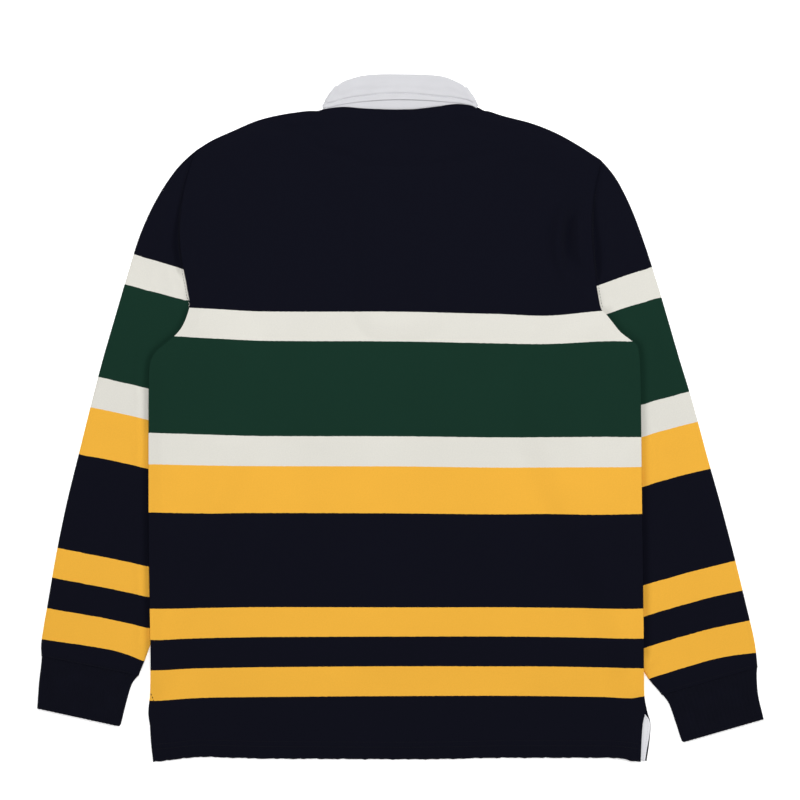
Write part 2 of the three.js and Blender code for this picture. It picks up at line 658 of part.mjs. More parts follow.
function collarAt(position) {
  const pick = (key) => {
    const axis = (name) => between(COLLAR_STATIONS.map((s) => ({ v: s[key][name] })), 'v', position);
    return new THREE.Vector3(axis('x'), axis('y'), axis('z'));
  };
  const away = pick('away').normalize();
  return { seam: pick('seam'), roll: pick('roll'), edge: pick('edge'), away };
}

function thickened(middle, normal) {
  const half = CLOTH / 2;
  const outer = middle.map((p, i) => p.clone().addScaledVector(normal[i], half).toArray());
  const inner = middle.map((p, i) => p.clone().addScaledVector(normal[i], -half).toArray());
  return [outer, inner];
}

function collarStand() {
  const outer = [];
  const inner = [];
  for (const position of collarPositions()) {
    const { seam, roll, away } = collarAt(position);
    const rise = roll.clone().sub(seam).normalize();
    const end = roll.clone().addScaledVector(rise, -SEAM_GAP);
    const middle = [0, 1 / 3, 2 / 3, 1].map((t) => seam.clone().lerp(end, t));
    const [over, under] = thickened(middle, middle.map(() => away));
    outer.push(over);
    inner.push(under);
  }
  return wall(outer, inner);
}

function collarLeaf() {
  const outer = [];
  const inner = [];
  for (const position of collarPositions()) {
    const { seam, roll, edge, away } = collarAt(position);
    const rise = roll.clone().sub(seam).normalize();
    const middle = [];
    const normal = [];
    for (const turn of [0, 45, 90, 135, 180]) {
      const angle = (turn * Math.PI) / 180;
      const out = rise.clone().multiplyScalar(Math.sin(angle)).addScaledVector(away, -Math.cos(angle));
      const centre = roll.clone().addScaledVector(away, ROLL_RADIUS);
      middle.push(centre.addScaledVector(out, ROLL_RADIUS));
      normal.push(out);
    }
    const start = middle[4];
    for (const t of [0.33, 0.67, 1]) {
      middle.push(start.clone().lerp(edge, t));
      normal.push(away);
    }
    const [over, under] = thickened(middle, normal);
    outer.push(over);
    inner.push(under);
  }
  return wall(outer, inner);
}

// A flat strip of the placket between two heights
function placketStrip(width, foot) {
  const shape = new THREE.BoxGeometry(width, PLACKET_LENGTH, CLOTH);
  shape.translate(gridX(NECK_CENTRE), gridY(PLACKET_TOP) - PLACKET_LENGTH / 2, foot + CLOTH / 2);
  return shape;
}

function button(number) {
  const shape = new THREE.CylinderGeometry(BUTTON_RADIUS, BUTTON_RADIUS, BUTTON_THICK, 20);
  const spacing = PLACKET_LENGTH / BUTTON_COUNT;
  shape.rotateX(Math.PI / 2);
  shape.translate(
    gridX(NECK_CENTRE),
    gridY(PLACKET_TOP) - spacing * (number + 0.4),
    CLOTH + SEAM_GAP / 2 + BUTTON_THICK / 2 + 0.1,
  );
  return shape;
}

// Binding of the side vent, on the inside of the front panel and made from its points
const TAPE_ACROSS = [0.3, 0.62, 0.97];
const TAPE_DOWN = [21.2, 22, 23, 24];

function ventTape() {
  const over = [];
  const under = [];
  const first = PANEL_COLUMNS.length - 2;
  for (const down of TAPE_DOWN) {
    const overRow = [];
    const underRow = [];
    for (const share of TAPE_ACROSS) {
      const drop = down === TAPE_DOWN[0] ? 0.3 * share : 0;
      const left = panelPlan(first, down + drop, 'front', 'vent');
      const right = panelPlan(first + 1, down + drop, 'front', 'vent');
      const column = left[0] + (right[0] - left[0]) * share;
      const row = left[1] + (right[1] - left[1]) * share;
      const foot = frontLift(column, row) + CLOTH + SEAM_GAP + 0.15;
      underRow.push([gridX(column), gridY(row), foot]);
      overRow.push([gridX(column), gridY(row), foot + CLOTH]);
    }
    over.push(overRow);
    under.push(underRow);
  }
  return wall(over, under);
}

const jersey = new THREE.MeshStandardMaterial({ color: NAVY, roughness: 0.9, metalness: 0 });
const ribKnit = new THREE.MeshStandardMaterial({ color: CUFF_NAVY, roughness: 0.92, metalness: 0 });
const twill = new THREE.MeshStandardMaterial({ color: WHITE, roughness: 0.85, metalness: 0 });
const rubber = new THREE.MeshStandardMaterial({ color: RUBBER, roughness: 0.5, metalness: 0 });

const group = new THREE.Group();
group.name = 'rugby_shirt';

function add(name, geometry, material) {
  const mesh = new THREE.Mesh(geometry, material);
  mesh.name = name;
  group.add(mesh);
}

// Body panels
const [backOver, backUnder] = panelGrids('back', 'right', backLift);
add('back_panel', wall(backOver, backUnder), jersey);
const [frontOver, frontUnder] = panelGrids('front', 'vent', frontLift);
const openingCell = (row, column) => row < OPENING_FOOT + 2
  && column >= OPENING_COLUMNS[0] && column < OPENING_COLUMNS[1];
add('front_panel', wall(frontOver, frontUnder, (row, column) => !openingCell(row, column)), jersey);

// Sleeves and their rib cuffs
add('sleeve_left', sleeve(LEFT_SLEEVE, 'left'), jersey);
add('sleeve_right', sleeve(RIGHT_SLEEVE, 'right'), jersey);
add('cuff_left', cuff(LEFT_CUFF), ribKnit);
add('cuff_right', cuff(RIGHT_CUFF), ribKnit);

// Collar
add('collar_stand', collarStand(), twill);
add('collar_leaf', collarLeaf(), twill);

// Front opening
add('placket_upper', placketStrip(PLACKET_WIDTH, 0), twill);
add('placket_under', placketStrip(PLACKET_WIDTH - 4, 2 * (CLOTH + SEAM_GAP)), twill);
for (let number = 0; number < BUTTON_COUNT; number += 1) {
  add(`button_${number + 1}`, button(number), rubber);
}

// Side vent
add('vent_tape_right', ventTape(), twill);

export default group;
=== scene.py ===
# %% [markdown]
# # A striped rugby shirt, laid flat on its front
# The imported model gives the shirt's solids at their real size, in metres. Here each piece of cloth
# gets a finer shell on the same form, its knit or twill finish, and the sewing that holds it.

# %% Load the frame
import math

import bmesh
import bpy
import numpy as np
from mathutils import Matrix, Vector


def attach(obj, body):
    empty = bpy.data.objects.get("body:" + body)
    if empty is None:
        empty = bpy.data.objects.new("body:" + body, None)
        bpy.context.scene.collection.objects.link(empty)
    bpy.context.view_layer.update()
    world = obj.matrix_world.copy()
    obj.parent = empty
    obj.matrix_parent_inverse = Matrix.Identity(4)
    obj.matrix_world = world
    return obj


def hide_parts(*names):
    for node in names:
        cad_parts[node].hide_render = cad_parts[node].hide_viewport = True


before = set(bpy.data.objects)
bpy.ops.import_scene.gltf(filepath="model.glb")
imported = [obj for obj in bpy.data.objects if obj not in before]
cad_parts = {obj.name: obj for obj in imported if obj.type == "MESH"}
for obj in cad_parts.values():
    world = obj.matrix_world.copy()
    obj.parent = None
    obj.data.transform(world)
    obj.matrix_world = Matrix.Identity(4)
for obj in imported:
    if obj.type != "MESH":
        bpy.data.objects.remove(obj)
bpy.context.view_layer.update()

# %% [markdown]
# ## The drafting grid
# The shirt was drafted on a squared sheet, as a pattern cutter would do it: columns run to the
# right and rows run down, and a square is 1.12 mm. One pair of functions turns squares into metres,
# so that every table below can stay short and readable.

# %% Grid and cloth sizes
SQUARE = 0.00112  # metres to a square
GRID_COLUMN = 399.7  # the column at x = 0
GRID_ROW = 417.85  # the row at y = 0
CLOTH = 0.0014  # the thickness of each cloth wall
SEAM_GAP = 0.0003
HAIR = 0.00005  # keeps two faces out of one plane
LOOSE = 0.0024  # how high the back rises off what it lies on, away from its seams
SLEEVE_HEIGHT = 0.0048
CUFF_HEIGHT = 0.0044
OVER_SLEEVE = SLEEVE_HEIGHT + 0.00045
OVER_LEAF = CLOTH + SEAM_GAP


def grid_x(column):
    return (column - GRID_COLUMN) * SQUARE


def grid_y(row):
    return (GRID_ROW - row) * SQUARE


def column_at(x):
    return x / SQUARE + GRID_COLUMN


def place(column, row, height):
    """Points in metres, from columns and rows of the grid and a height."""
    height = np.broadcast_to(height, np.shape(column))
    return np.stack([grid_x(column), grid_y(row), height], axis=-1)


def table(names, *rows):
    """Named columns of numbers, one row for each section."""
    return {name: np.array(column, float) for name, column in zip(names.split(), zip(*rows))}


def between(column, position):
    """Smooth values between a column's rows, the position counted in rows."""
    position = np.asarray(position, float)
    last = len(column) - 1
    low = np.clip(np.floor(position).astype(int), 0, last - 1)
    t = position - low
    p1, p2 = column[low], column[low + 1]
    p0 = np.where(low > 0, column[np.maximum(low - 1, 0)], 2 * p1 - p2)
    p3 = np.where(low + 2 <= last, column[np.minimum(low + 2, last)], 2 * p2 - p1)
    bend = (2 * p0 - 5 * p1 + 4 * p2 - p3) * t**2 + (3 * (p1 - p2) + p3 - p0) * t**3
    return p1 + 0.5 * ((p2 - p0) * t + bend)


def smooth(value):
    t = np.clip(value, 0, 1)
    return t * t * (3 - 2 * t)


def bell(away, width):
    """A soft bump: 1 in the middle, and next to nothing two widths away."""
    return np.exp(-(away / width) ** 2)


# %% [markdown]
# ## The camera
# The shirt lies on a table and is seen from straight above. A long lens keeps the flat shirt free
# of perspective. The camera looks down at the middle of the sheet and frames 800 squares.

# %% Camera
def add_object(name, data):
    added = bpy.data.objects.new(name, data)
    bpy.context.scene.collection.objects.link(added)
    return added


LENS, SENSOR = 100, 36
SHEET = 800  # squares across the picture
CLOTH_LEVEL = 0.004  # the height at which the picture is 800 squares wide
camera_data = bpy.data.cameras.new("Overhead_camera")
camera_data.lens = LENS
camera_data.sensor_width = SENSOR
camera_data.clip_end = 50
camera_height = LENS / SENSOR * SHEET * SQUARE
camera = add_object("Overhead_camera", camera_data)
camera.location = (grid_x(SHEET / 2), grid_y(SHEET / 2), camera_height + CLOTH_LEVEL)
bpy.context.scene.camera = camera
print("camera height", round(camera_height, 3))

# %% [markdown]
# ## Colours and nodes
# Dyed yarn colours are written as they look on a screen, in sRGB hex, and one function turns them
# into the linear values that the shader mixes. One small function adds any node.

# %% Colour and node helpers
def srgb(code):
    channels = [int(code[i:i + 2], 16) / 255 for i in (0, 2, 4)]
    linear = [c / 12.92 if c <= 0.04045 else ((c + 0.055) / 1.055) ** 2.4 for c in channels]
    return (*linear, 1.0)


def add_node(tree, kind, settings=None, inputs=None):
    """Adds a node; inputs maps a socket's name or number to a value or to another socket."""
    node = tree.nodes.new(kind)
    for name, value in (settings or {}).items():
        setattr(node, name, value)
    for name, value in (inputs or {}).items():
        if isinstance(value, bpy.types.NodeSocket):
            tree.links.new(value, node.inputs[name])
        else:
            node.inputs[name].default_value = value
    return node


def new_material(name):
    material = bpy.data.materials.new(name)
    material.use_nodes = True
    material.node_tree.nodes.clear()
    return material, material.node_tree


def maths(tree, operation, *values):
    inputs = dict(enumerate(values))
    return add_node(tree, "ShaderNodeMath", {"operation": operation}, inputs).outputs[0]


def add_surface(tree, inputs):
    """The shader and the output that every material here ends in."""
    shader = add_node(tree, "ShaderNodeBsdfPrincipled", None, inputs)
    add_node(tree, "ShaderNodeOutputMaterial", None, {"Surface": shader.outputs[0]})


# %% [markdown]
# ## Table top and light
# A plain pale table and even, soft studio light. A third of the light comes from all round, as in
# a light tent. Two large soft boxes at the sides skim over the cloth, so that every edge that lies
# on another layer leaves a narrow soft shadow, and one above the collar shows the creases.

# %% Floor, world and soft boxes
HALF = 3.0  # half of the table top's side, in metres
floor_mesh = bpy.data.meshes.new("Table_top")
floor_mesh.from_pydata([(-HALF, -HALF, 0), (HALF, -HALF, 0), (HALF, HALF, 0), (-HALF, HALF, 0)],
                       [], [(0, 1, 2, 3)])
add_object("Table_top", floor_mesh)
# Matt white laminate. It glows a little, as a catalogue's light table does, so that the shirt's
# thin edges leave almost no shadow on it.
laminate, tree = new_material("matt_white_laminate")
add_surface(tree, {"Base Color": srgb("FBFBFB"), "Roughness": 0.9, "Specular IOR Level": 0.1,
                   "Emission Color": srgb("FFFFFF"), "Emission Strength": 0.34})
floor_mesh.materials.append(laminate)

world = bpy.data.worlds.new("Light_tent")
bpy.context.scene.world = world
world.use_nodes = True
tent = world.node_tree.nodes["Background"].inputs
tent["Color"].default_value = srgb("FFFFFF")
tent["Strength"].default_value = 0.32


def soft_box(name, spot, size, power):
    """A square area light that faces the middle of the table."""
    light = bpy.data.lights.new(name, "AREA")
    light.shape = "SQUARE"
    light.size = size
    light.energy = power
    box = add_object(name, light)
    box.location = spot
    box.rotation_mode = "QUATERNION"
    box.rotation_quaternion = Vector(spot).to_track_quat("Z", "Y")


soft_box("Left_soft_box", (-4.4, 0.0, 2.5), 2.9, 70)
soft_box("Right_soft_box", (4.4, 0.0, 2.5), 2.9, 88)
soft_box("Top_soft_box", (0.03, 0.56, 1.7), 0.7, 20.2)
bpy.context.scene.view_settings.view_transform = "Standard"

# %% [markdown]
# ## The cut of the body
# A maker cuts a front and a back to nearly the same outline. The first table gives, from the left
# shoulder point to the right one, where each column of the panel starts at the shoulder or the
# neckline and where it ends at the hem. The second runs down the armhole, round the underarm and
# down the side seam. A panel is the sheet stretched between these edges.

# %% Body tables
panel_columns = table(
    "top back front hem hem_row",
    (196, 150.4, 150.4, 153, 762),
    (212, 140.3, 140.3, 173, 760),
    (234, 130.3, 130.3, 198, 757.2),
    (259, 119.9, 119.9, 227, 757.8),
    (288, 113.4, 113.4, 261, 758.8),
    (316.6, 111, 111, 296, 759),
    (321.5, 110, 120.5, 304, 759),
    (330, 108.4, 134.5, 314, 759),
    (345, 107.2, 151, 332, 759.2),
    (364, 108.6, 162, 356, 759.3),
    (386, 109.5, 167, 386, 759.4),
    (400.5, 109.6, 168.2, 400.5, 759.5),
    (415, 109.2, 167, 415, 759.5),
    (437, 106.7, 162, 446, 759.2),
    (456, 104.2, 151, 469, 758.6),
    (470.5, 105.7, 134.5, 486, 758.2),
    (479.5, 108.3, 120.5, 497, 758),
    (484.6, 110.8, 110.8, 506, 758),
    (505, 116.4, 116.4, 534, 758),
    (531, 123, 123, 566, 758),
    (556, 132.8, 132.8, 596, 758),
    (580, 146.2, 146.2, 622, 758.5),
    (601.4, 160.4, 160.4, 640.6, 761.5),
)
side_rows = table(
    "left left_row right right_row vent",
    (196, 150.4, 601.4, 160.4, 601.4),
    (190, 168, 596.4, 179, 596.4),
    (184.4, 190, 593, 198, 593),
    (181.2, 214, 591.2, 219, 591.2),
    (180.4, 240, 591.6, 243, 591.6),
    (183, 264, 593.8, 267, 593.8),
    (187.1, 286, 597, 290, 597),
    (190, 303.6, 600.6, 308.4, 600.6),
    (187.2, 316, 606.2, 314.8, 606.2),
    (182.2, 327.2, 612.4, 322.6, 612.4),
    (174.9, 336, 620.2, 332.2, 620.2),
    (166, 343.4, 630.2, 340, 630.2),
    (156.4, 351.8, 636.8, 346, 636.8),
    (150.6, 363, 639.4, 360, 639.4),
    (149.2, 382, 640.2, 382, 640.2),
    (149, 430, 640.8, 430, 640.8),
    (149, 490, 641.4, 490, 641.4),
    (149.2, 550, 642.2, 550, 642.2),
    (150.2, 610, 643, 610, 643),
    (150.9, 655, 643.4, 655, 643.4),
    (150.2, 690, 643.8, 690, 643.9),
    (148.2, 712, 645, 711, 647.4),
    (149.8, 726, 642.6, 724, 650.8),
    (150.8, 742, 641.4, 742, 649.6),
    (153, 762, 640.6, 761.5, 646.8),
)
ARMHOLE_ROWS = 7
ACROSS_LAST = len(panel_columns["top"]) - 1
DOWN_LAST = len(side_rows["left"]) - 1


def panel_plan(across, down, top_key, side_key):
    """Plan place, in squares, of a body panel at positions counted in rows of the two tables."""
    side = {key: between(column, down) for key, column in side_rows.items()}
    start = {key: column[0] for key, column in side_rows.items()}
    end = {key: column[-1] for key, column in side_rows.items()}
    left_fall, right_fall = ((side[key] - start[key]) / (end[key] - start[key])
                             for key in ("left_row", "right_row"))
    weight = across / ACROSS_LAST
    fall = left_fall + (right_fall - left_fall) * weight
    top, row, hem, hem_row = (between(panel_columns[key], across)
                              for key in ("top", top_key, "hem", "hem_row"))
    corner = panel_columns["hem"][-1]
    left_off = side["left"] - (start["left"] + fall * (end["left"] - start["left"]))
    right_off = side[side_key] - (start[side_key] + fall * (corner - start[side_key]))
    column = top + fall * (hem - top) + left_off * (1 - weight) ** 3 + right_off * weight**3
    return column, row + fall * (hem_row - row)


# %% [markdown]
# ## The cut of the sleeves, cuffs and collar
# A sleeve is a tube pressed flat. Each row of its table is one section across it, from the outer
# fold to the inner one, fanning round the sleeve head before it runs square to the arm. The collar
# is a band round the neck: each row gives its seam, the roll line where it turns over and the
# outer edge of the part that falls.

# %% Sleeve, cuff and collar tables
SECTION = "outer outer_row inner inner_row"
left_sleeve = table(
    SECTION,
    (195.5, 150.4, 189.5, 303.6), (176, 170, 191.5, 311), (156.2, 200, 199, 320),
    (140, 235, 213, 331), (127, 276, 228, 348), (115.2, 316, 238, 372),
    (103, 358, 237, 400), (92, 400, 230, 432), (79.6, 450, 213.5, 478),
    (67.2, 500, 195.5, 526), (56.8, 550, 177, 574), (48.6, 597, 160, 619),
    (41.4, 640, 144.4, 660.8), (41.2, 655.6, 138.6, 675.2),
)
right_sleeve = table(
    SECTION,
    (601.9, 160.4, 601.5, 308), (617, 180, 599, 314), (632, 210, 589, 324),
    (645.4, 246, 574, 338), (658.2, 286, 560, 359), (668.8, 322, 551, 386),
    (679.3, 358, 551, 413), (692.4, 401, 556.6, 442), (706.4, 453, 573, 485),
    (720.2, 502, 594, 534), (732.6, 549, 614, 579), (744.4, 597, 628, 626),
    (754.4, 640, 643, 669.8), (757.8, 666.6, 662, 694.6),
)
left_cuff = table(
    SECTION,
    (41.4, 656.2, 138.2, 675.8), (40.6, 666, 131.8, 684.4),
    (38.5, 684, 126.4, 702), (36.8, 708.6, 120.2, 726.8),
)
right_cuff = table(
    SECTION,
    (757.8, 667.2, 662.6, 695.2), (757.4, 677, 668.8, 704),
    (758.9, 696, 674.6, 720), (764.3, 719.2, 682, 742.8),
)
COLLAR = "seam seam_row roll roll_row edge edge_row"
collar_front = table(
    COLLAR,
    (397.6, 167.4, 397.6, 141, 369, 194),
    (376, 164.2, 377, 138.2, 350, 178),
    (352, 154.6, 359, 128.4, 332, 161),
    (334.6, 138.6, 346, 114.6, 316, 143),
    (323.6, 121, 338, 101, 308, 125),
)
collar_back = table(
    COLLAR,
    (329, 109.2, 340.4, 85, 331, 107.2),
    (341, 108.4, 347, 82, 342, 104.6),
    (357, 108.6, 361, 77.9, 358, 102.2),
    (378, 109.2, 379, 76, 379, 100.3),
    (400.5, 109.4, 400.5, 75.9, 400.5, 99.5),
    (423, 107.8, 422, 76.4, 422, 100.2),
    (443, 105.4, 442, 78.2, 442, 101.7),
    (459, 104.2, 454.8, 82.8, 458, 103.2),
    (472, 106, 463.4, 87.2, 470.5, 105.2),
)
NECK_CENTRE = 400.5
collar_front_right = {
    key: (column if key.endswith("row") else 2 * NECK_CENTRE - column)[::-1]
    for key, column in collar_front.items()
}

# %% [markdown]
# ## What lies under what
# Cloth that lies on another layer is lifted by it, and sinks again just past its edge. A patch is
# the outline of what lies underneath; its function gives 1 on the patch and falls softly outside.

# %% Patches and heights
def to_segment(start, end, column, row):
    """Each point's nearest place on a segment, as a share of its length, and how far away it is."""
    (x0, y0), (x1, y1) = start, end
    dx, dy = x1 - x0, y1 - y0
    t = np.clip(((column - x0) * dx + (row - y0) * dy) / (dx * dx + dy * dy), 0, 1)
    return t, np.hypot(column - x0 - t * dx, row - y0 - t * dy)


def distance_to(chain, column, row, closed=False):
    """Distance, in squares, from each point to a chain of points."""
    ends = list(chain[1:]) + [chain[0]]
    return np.min([to_segment(start, end, column, row)[1]
                   for start, end in list(zip(chain, ends))[:len(chain) - (not closed)]], axis=0)


def holds(chain, column, row):
    """Whether each point lies inside a closed chain."""
    inside = np.zeros(np.shape(column), bool)
    for (ax, ay), (bx, by) in zip(chain, [chain[-1], *chain[:-1]]):
        if ay != by:
            crosses = (ay > row) != (by > row)
            inside ^= crosses & (column < (bx - ax) * (row - ay) / (by - ay) + ax)
    return inside


def patch(chain, column, row, margin, ramp):
    """1 on a patch and for a margin round it, then a soft fall over a ramp, both in squares."""
    fall = 1 - smooth((distance_to(chain, column, row, closed=True) - margin) / ramp)
    return np.where(holds(chain, column, row), 1.0, fall)


def chain_of(rows, key, start=0, stop=None):
    """Some rows of a table as a chain of points in squares."""
    return list(zip(rows[key][start:stop], rows[key + "_row"][start:stop]))


def hidden_part(rows, side):
    """The part of a sleeve that lies under the body."""
    return chain_of(rows, "inner", 0, 13) + chain_of(side_rows, side, ARMHOLE_ROWS, 20)[::-1]


def round_neck(key, *behind):
    """A chain round the collar's front, closed behind the neck through two places."""
    return chain_of(collar_front, key) + list(behind) + chain_of(collar_front_right, key)


left_hidden = hidden_part(left_sleeve, "left")
right_hidden = hidden_part(right_sleeve, "right")
leaf_patch = round_neck("edge", (312, 112), (489, 112))
neck_hole = round_neck("roll", (337, 92), (465, 92))
neck_hole_sides = neck_hole[:5] + neck_hole[7:]
PLACKET_TOP = 169
PLACKET_LENGTH = 0.158
PLACKET_WIDTH = 0.036
placket_foot = PLACKET_TOP + PLACKET_LENGTH / SQUARE
placket_half = PLACKET_WIDTH / 2 / SQUARE
placket_patch = [
    (NECK_CENTRE - placket_half, PLACKET_TOP), (NECK_CENTRE + placket_half, PLACKET_TOP),
    (NECK_CENTRE + placket_half, placket_foot), (NECK_CENTRE - placket_half, placket_foot),
]


def front_lift(column, row):
    """Height of the front panel's underside."""
    over_sleeves = np.maximum(*(patch(hidden, column, row, 7, 34)
                                for hidden in (left_hidden, right_hidden)))
    over_leaf = np.maximum(patch(leaf_patch, column, row, 8, 20),
                           patch(placket_patch, column, row, 8, 24))
    return np.maximum(OVER_SLEEVE * over_sleeves, OVER_LEAF * over_leaf)


def back_neck_height(column):
    return 0.0017 + 0.0034 * smooth(np.abs(column - NECK_CENTRE) / 78)


def under_back(column, row):
    """Height of what the back panel lies on, and how far it sinks into the neck's opening."""
    under_placket = (3 * CLOTH + 2 * SEAM_GAP) * patch(placket_patch, column, row, 10, 34)
    front = np.maximum(front_lift(column, row) + CLOTH, under_placket)
    into_neck = smooth(distance_to(neck_hole_sides, column, row) / 26)
    sunk = np.where(holds(neck_hole, column, row), into_neck, 0)
    beside_vent = smooth((column - 604) / 22) * smooth((row - 676) / 22)
    over_tape = (CLOTH + 2 * SEAM_GAP) * beside_vent
    return front + (back_neck_height(column) - SEAM_GAP - front) * sunk + over_tape, sunk


# %% [markdown]
# ## Soft creases
# Pressed cotton jersey is never quite flat. Each row below is one soft trough or ridge, uneven in
# length and depth, and a few slow waves keep the cloth between them alive.

# %% Crease tables
CREASE = "start start_row end end_row width rise"
back_creases = table(
    CREASE,
    (270, 127, 318, 127, 5, -2), (456, 121, 517, 132, 4, -2), (262, 138, 300, 140, 9, 0.8),
    (201, 200, 197, 268, 8, 1.2), (303, 125, 322, 128, 8, -1.2),
    (226, 380, 214, 500, 12, 1), (572, 400, 590, 520, 12, 1), (205, 330, 240, 352, 9, 1),
    (330, 143, 470, 150, 14, 0.7), (520, 160, 560, 176, 5, -0.8), (505, 150, 540, 150, 8, 0.6),
    (585, 330, 556, 356, 9, 1), (300, 560, 420, 566, 16, 0.6), (380, 700, 520, 694, 14, 0.5),
    (180, 560, 186, 690, 10, -0.7), (612, 560, 606, 690, 10, -0.7),
)
front_creases = table(
    CREASE,
    (250, 230, 330, 300, 12, 0.5), (560, 240, 480, 310, 12, 0.4), (330, 520, 450, 528, 16, 0.3),
)


def creases(rows, column, row):
    """Straight creases: the rise is in millimetres, and all else in squares."""
    rise = np.zeros(np.shape(column))
    for x0, y0, x1, y1, width, height in zip(*rows.values()):
        rise += height * 0.001 * bell(to_segment((x0, y0), (x1, y1), column, row)[1], width)
    return rise


# The long creases run through several places, each with its own width and rise: the fold beside
# the right armhole, with the trough and the lower ridge next to it, and the mark that the front
# neckline leaves in the back panel above it.
BENT = "column row width rise"
long_creases = [
    table(BENT, (583, 186, 3, 0), (574, 197, 4, 2.6), (564, 209, 4.5, 4.2), (559, 222, 5, 5.4),
          (557, 240, 5, 5.8), (558, 256, 5, 4.8), (562, 271, 5, 2.4), (568, 286, 5, 0)),
    table(BENT, (588, 198, 3, -0.8), (578, 211, 3.5, -1.8), (570, 224, 4, -2.6),
          (568, 240, 4, -2.8), (569, 256, 4, -2.4), (572, 270, 4, 0)),
    table(BENT, (583, 204, 4, 0), (579, 218, 4, 3.4), (578, 236, 4.5, 4.8),
          (580, 254, 4.5, 3.8), (584, 268, 4, 0)),
    table(BENT, (280, 124, 5, 0), (290, 128, 5, -1.6), (308, 139, 5, -2.0), (326, 150, 4, -2.0),
          (352, 158, 4, -1.9), (364, 165, 4, -1.6), (388, 167, 3, -1.4), (413, 167, 3, -1.5),
          (451, 162, 4, -1.8), (480, 156, 4, -1.9), (510, 149, 4, -1.3), (524, 146, 4, 0)),
]


def long_crease(rows, column, row):
    """The height of the crease at its nearest place, so that it bends with no bump."""
    nearest = np.full(np.shape(column), np.inf)
    height = np.zeros(np.shape(column))
    places = list(zip(*rows.values()))
    for (x0, y0, width0, rise0), (x1, y1, width1, rise1) in zip(places, places[1:]):
        t, away = to_segment((x0, y0), (x1, y1), column, row)
        rise = (rise0 + (rise1 - rise0) * t) * bell(away, width0 + (width1 - width0) * t)
        height = np.where(away < nearest, rise, height)
        nearest = np.minimum(nearest, away)
    return height * 0.001


def slow_waves(column, row, size):
    """A few long, shallow waves, the same in each run."""
    waves = ((0.021, 0.013, 0.4), (-0.011, 0.027, 2.1), (0.034, -0.019, 4.0), (0.008, 0.045, 1.3),
             (0.047, 0.022, 5.2), (-0.039, 0.041, 3.3))
    return size * sum(np.sin(column * a + row * b + c) for a, b, c in waves) / len(waves)


# %% [markdown]
# ## The stripes
# The stripes are knitted in, so the same run of stripes is on every piece, and each piece pulls it
# a little out of line. The first row of each table is a few columns of the grid, and each row
# below it is one colour change and where it crosses them. From these every point of a piece gets
# its distance down the cloth, which goes into the piece's UV map for the material to read.

# %% Stripe tables
# Millimetres down the cloth from the first colour change.
DOWN_CLOTH = np.array([0, 33.6, 139.8, 172.8, 226.0, 330.8, 363.8, 396.9, 430.5])
body_stripes = (
    (155, 200, 260, 400, 500, 550, 600, 630, 643),
    (306, 308.5, 311.5, 311.9, 314.1, 315.8, 311.2, 308, 306.5),
    (335.2, 337.9, 340.8, 341.4, 343.4, 344.1, 341.6, 341.6, 341.8),
    (432.9, 434.3, 436, 436.3, 437.4, 437.1, 436.8, 437, 437),
    (464.2, 465.2, 466.1, 466.4, 467.6, 467.3, 467.1, 467, 466.8),
    (512.2, 513.1, 512.9, 513.3, 514.3, 513.8, 514.4, 513.9, 513.7),
    (608.4, 607.9, 607.1, 607.3, 607.2, 607.6, 608.2, 608.4, 608.3),
    (639.6, 638.1, 636.9, 636.4, 636.3, 636.8, 637.7, 638, 638.2),
    (670, 668.3, 667.1, 666.2, 666.3, 666.4, 667.3, 667.6, 668),
    (700.9, 697.8, 696.8, 695.9, 695.5, 696, 696.8, 697.6, 695.9),
)
left_stripes = (
    (38, 80, 100, 120, 145, 185),
    (225.7, 238.6, 244.6, 250.4, 257.9, 269.8),
    (261.3, 272.4, 277.6, 283.1, 289.9, 300.3),
    (362.8, 372.5, 377.2, 382, 388, 398),
    (394.7, 404.6, 409.1, 413.4, 419.4, 429),
    (444.9, 454.2, 458, 462.3, 468.3, 478),
    (543.6, 552, 556.1, 560.3, 566, 575),
    (574.5, 582.6, 586.6, 590.8, 596.4, 605),
    (606.3, 613.6, 617.2, 621.5, 627.4, 637),
    (638.5, 644.4, 647.7, 652.2, 661.8, 676),
)
right_stripes = (
    (596, 645, 670, 690, 710, 730, 755),
    (286.2, 269.7, 262, 256, 250, 244, 236),
    (317.6, 302.1, 295.6, 290, 284.6, 279.2, 272),
    (418.6, 404.1, 396.8, 391.3, 386, 380.6, 374),
    (451.6, 436.5, 428.9, 423.6, 419, 414.4, 408),
    (501, 486.5, 478.7, 473.3, 468.7, 464, 458),
    (598.6, 585.1, 577.8, 571.9, 566.9, 561.9, 556),
    (630.6, 616.6, 608.6, 602.9, 597.4, 592.9, 587.8),
    (663.6, 648.2, 640, 634.2, 628.8, 624.4, 619.2),
    (700, 681, 672.1, 665.8, 660, 655.8, 652.8),
)


def edge_rows(stripes, column):
    """Rows at which the colour changes cross some columns."""
    where = np.interp(column, stripes[0], np.arange(len(stripes[0])))
    return [between(np.array(rows), where) for rows in stripes[1:]]


def down_the_cloth(column, row, stripes):
    """Distance down the cloth, in metres, from the first colour change."""
    edges = edge_rows(stripes, column)
    down = DOWN_CLOTH[0] + (row - edges[0]) * SQUARE * 1000
    for i in range(len(edges) - 1):
        share = (row - edges[i]) / (edges[i + 1] - edges[i])
        here = DOWN_CLOTH[i] + share * (DOWN_CLOTH[i + 1] - DOWN_CLOTH[i])
        down = np.where(row > edges[i], here, down)
    last = DOWN_CLOTH[-1] + (row - edges[-1]) * SQUARE * 1000
    return np.where(row > edges[-1], last, down) * 0.001


# %% [markdown]
# ## How a cloth's surface is built
# All the cloths here share one plan. Their pattern comes from the UV map, in metres across and
# down the cloth. Soft noise varies the dye, a fine relief stands for the threads, and the surface
# is matt with a faint nap that catches light at a low angle.

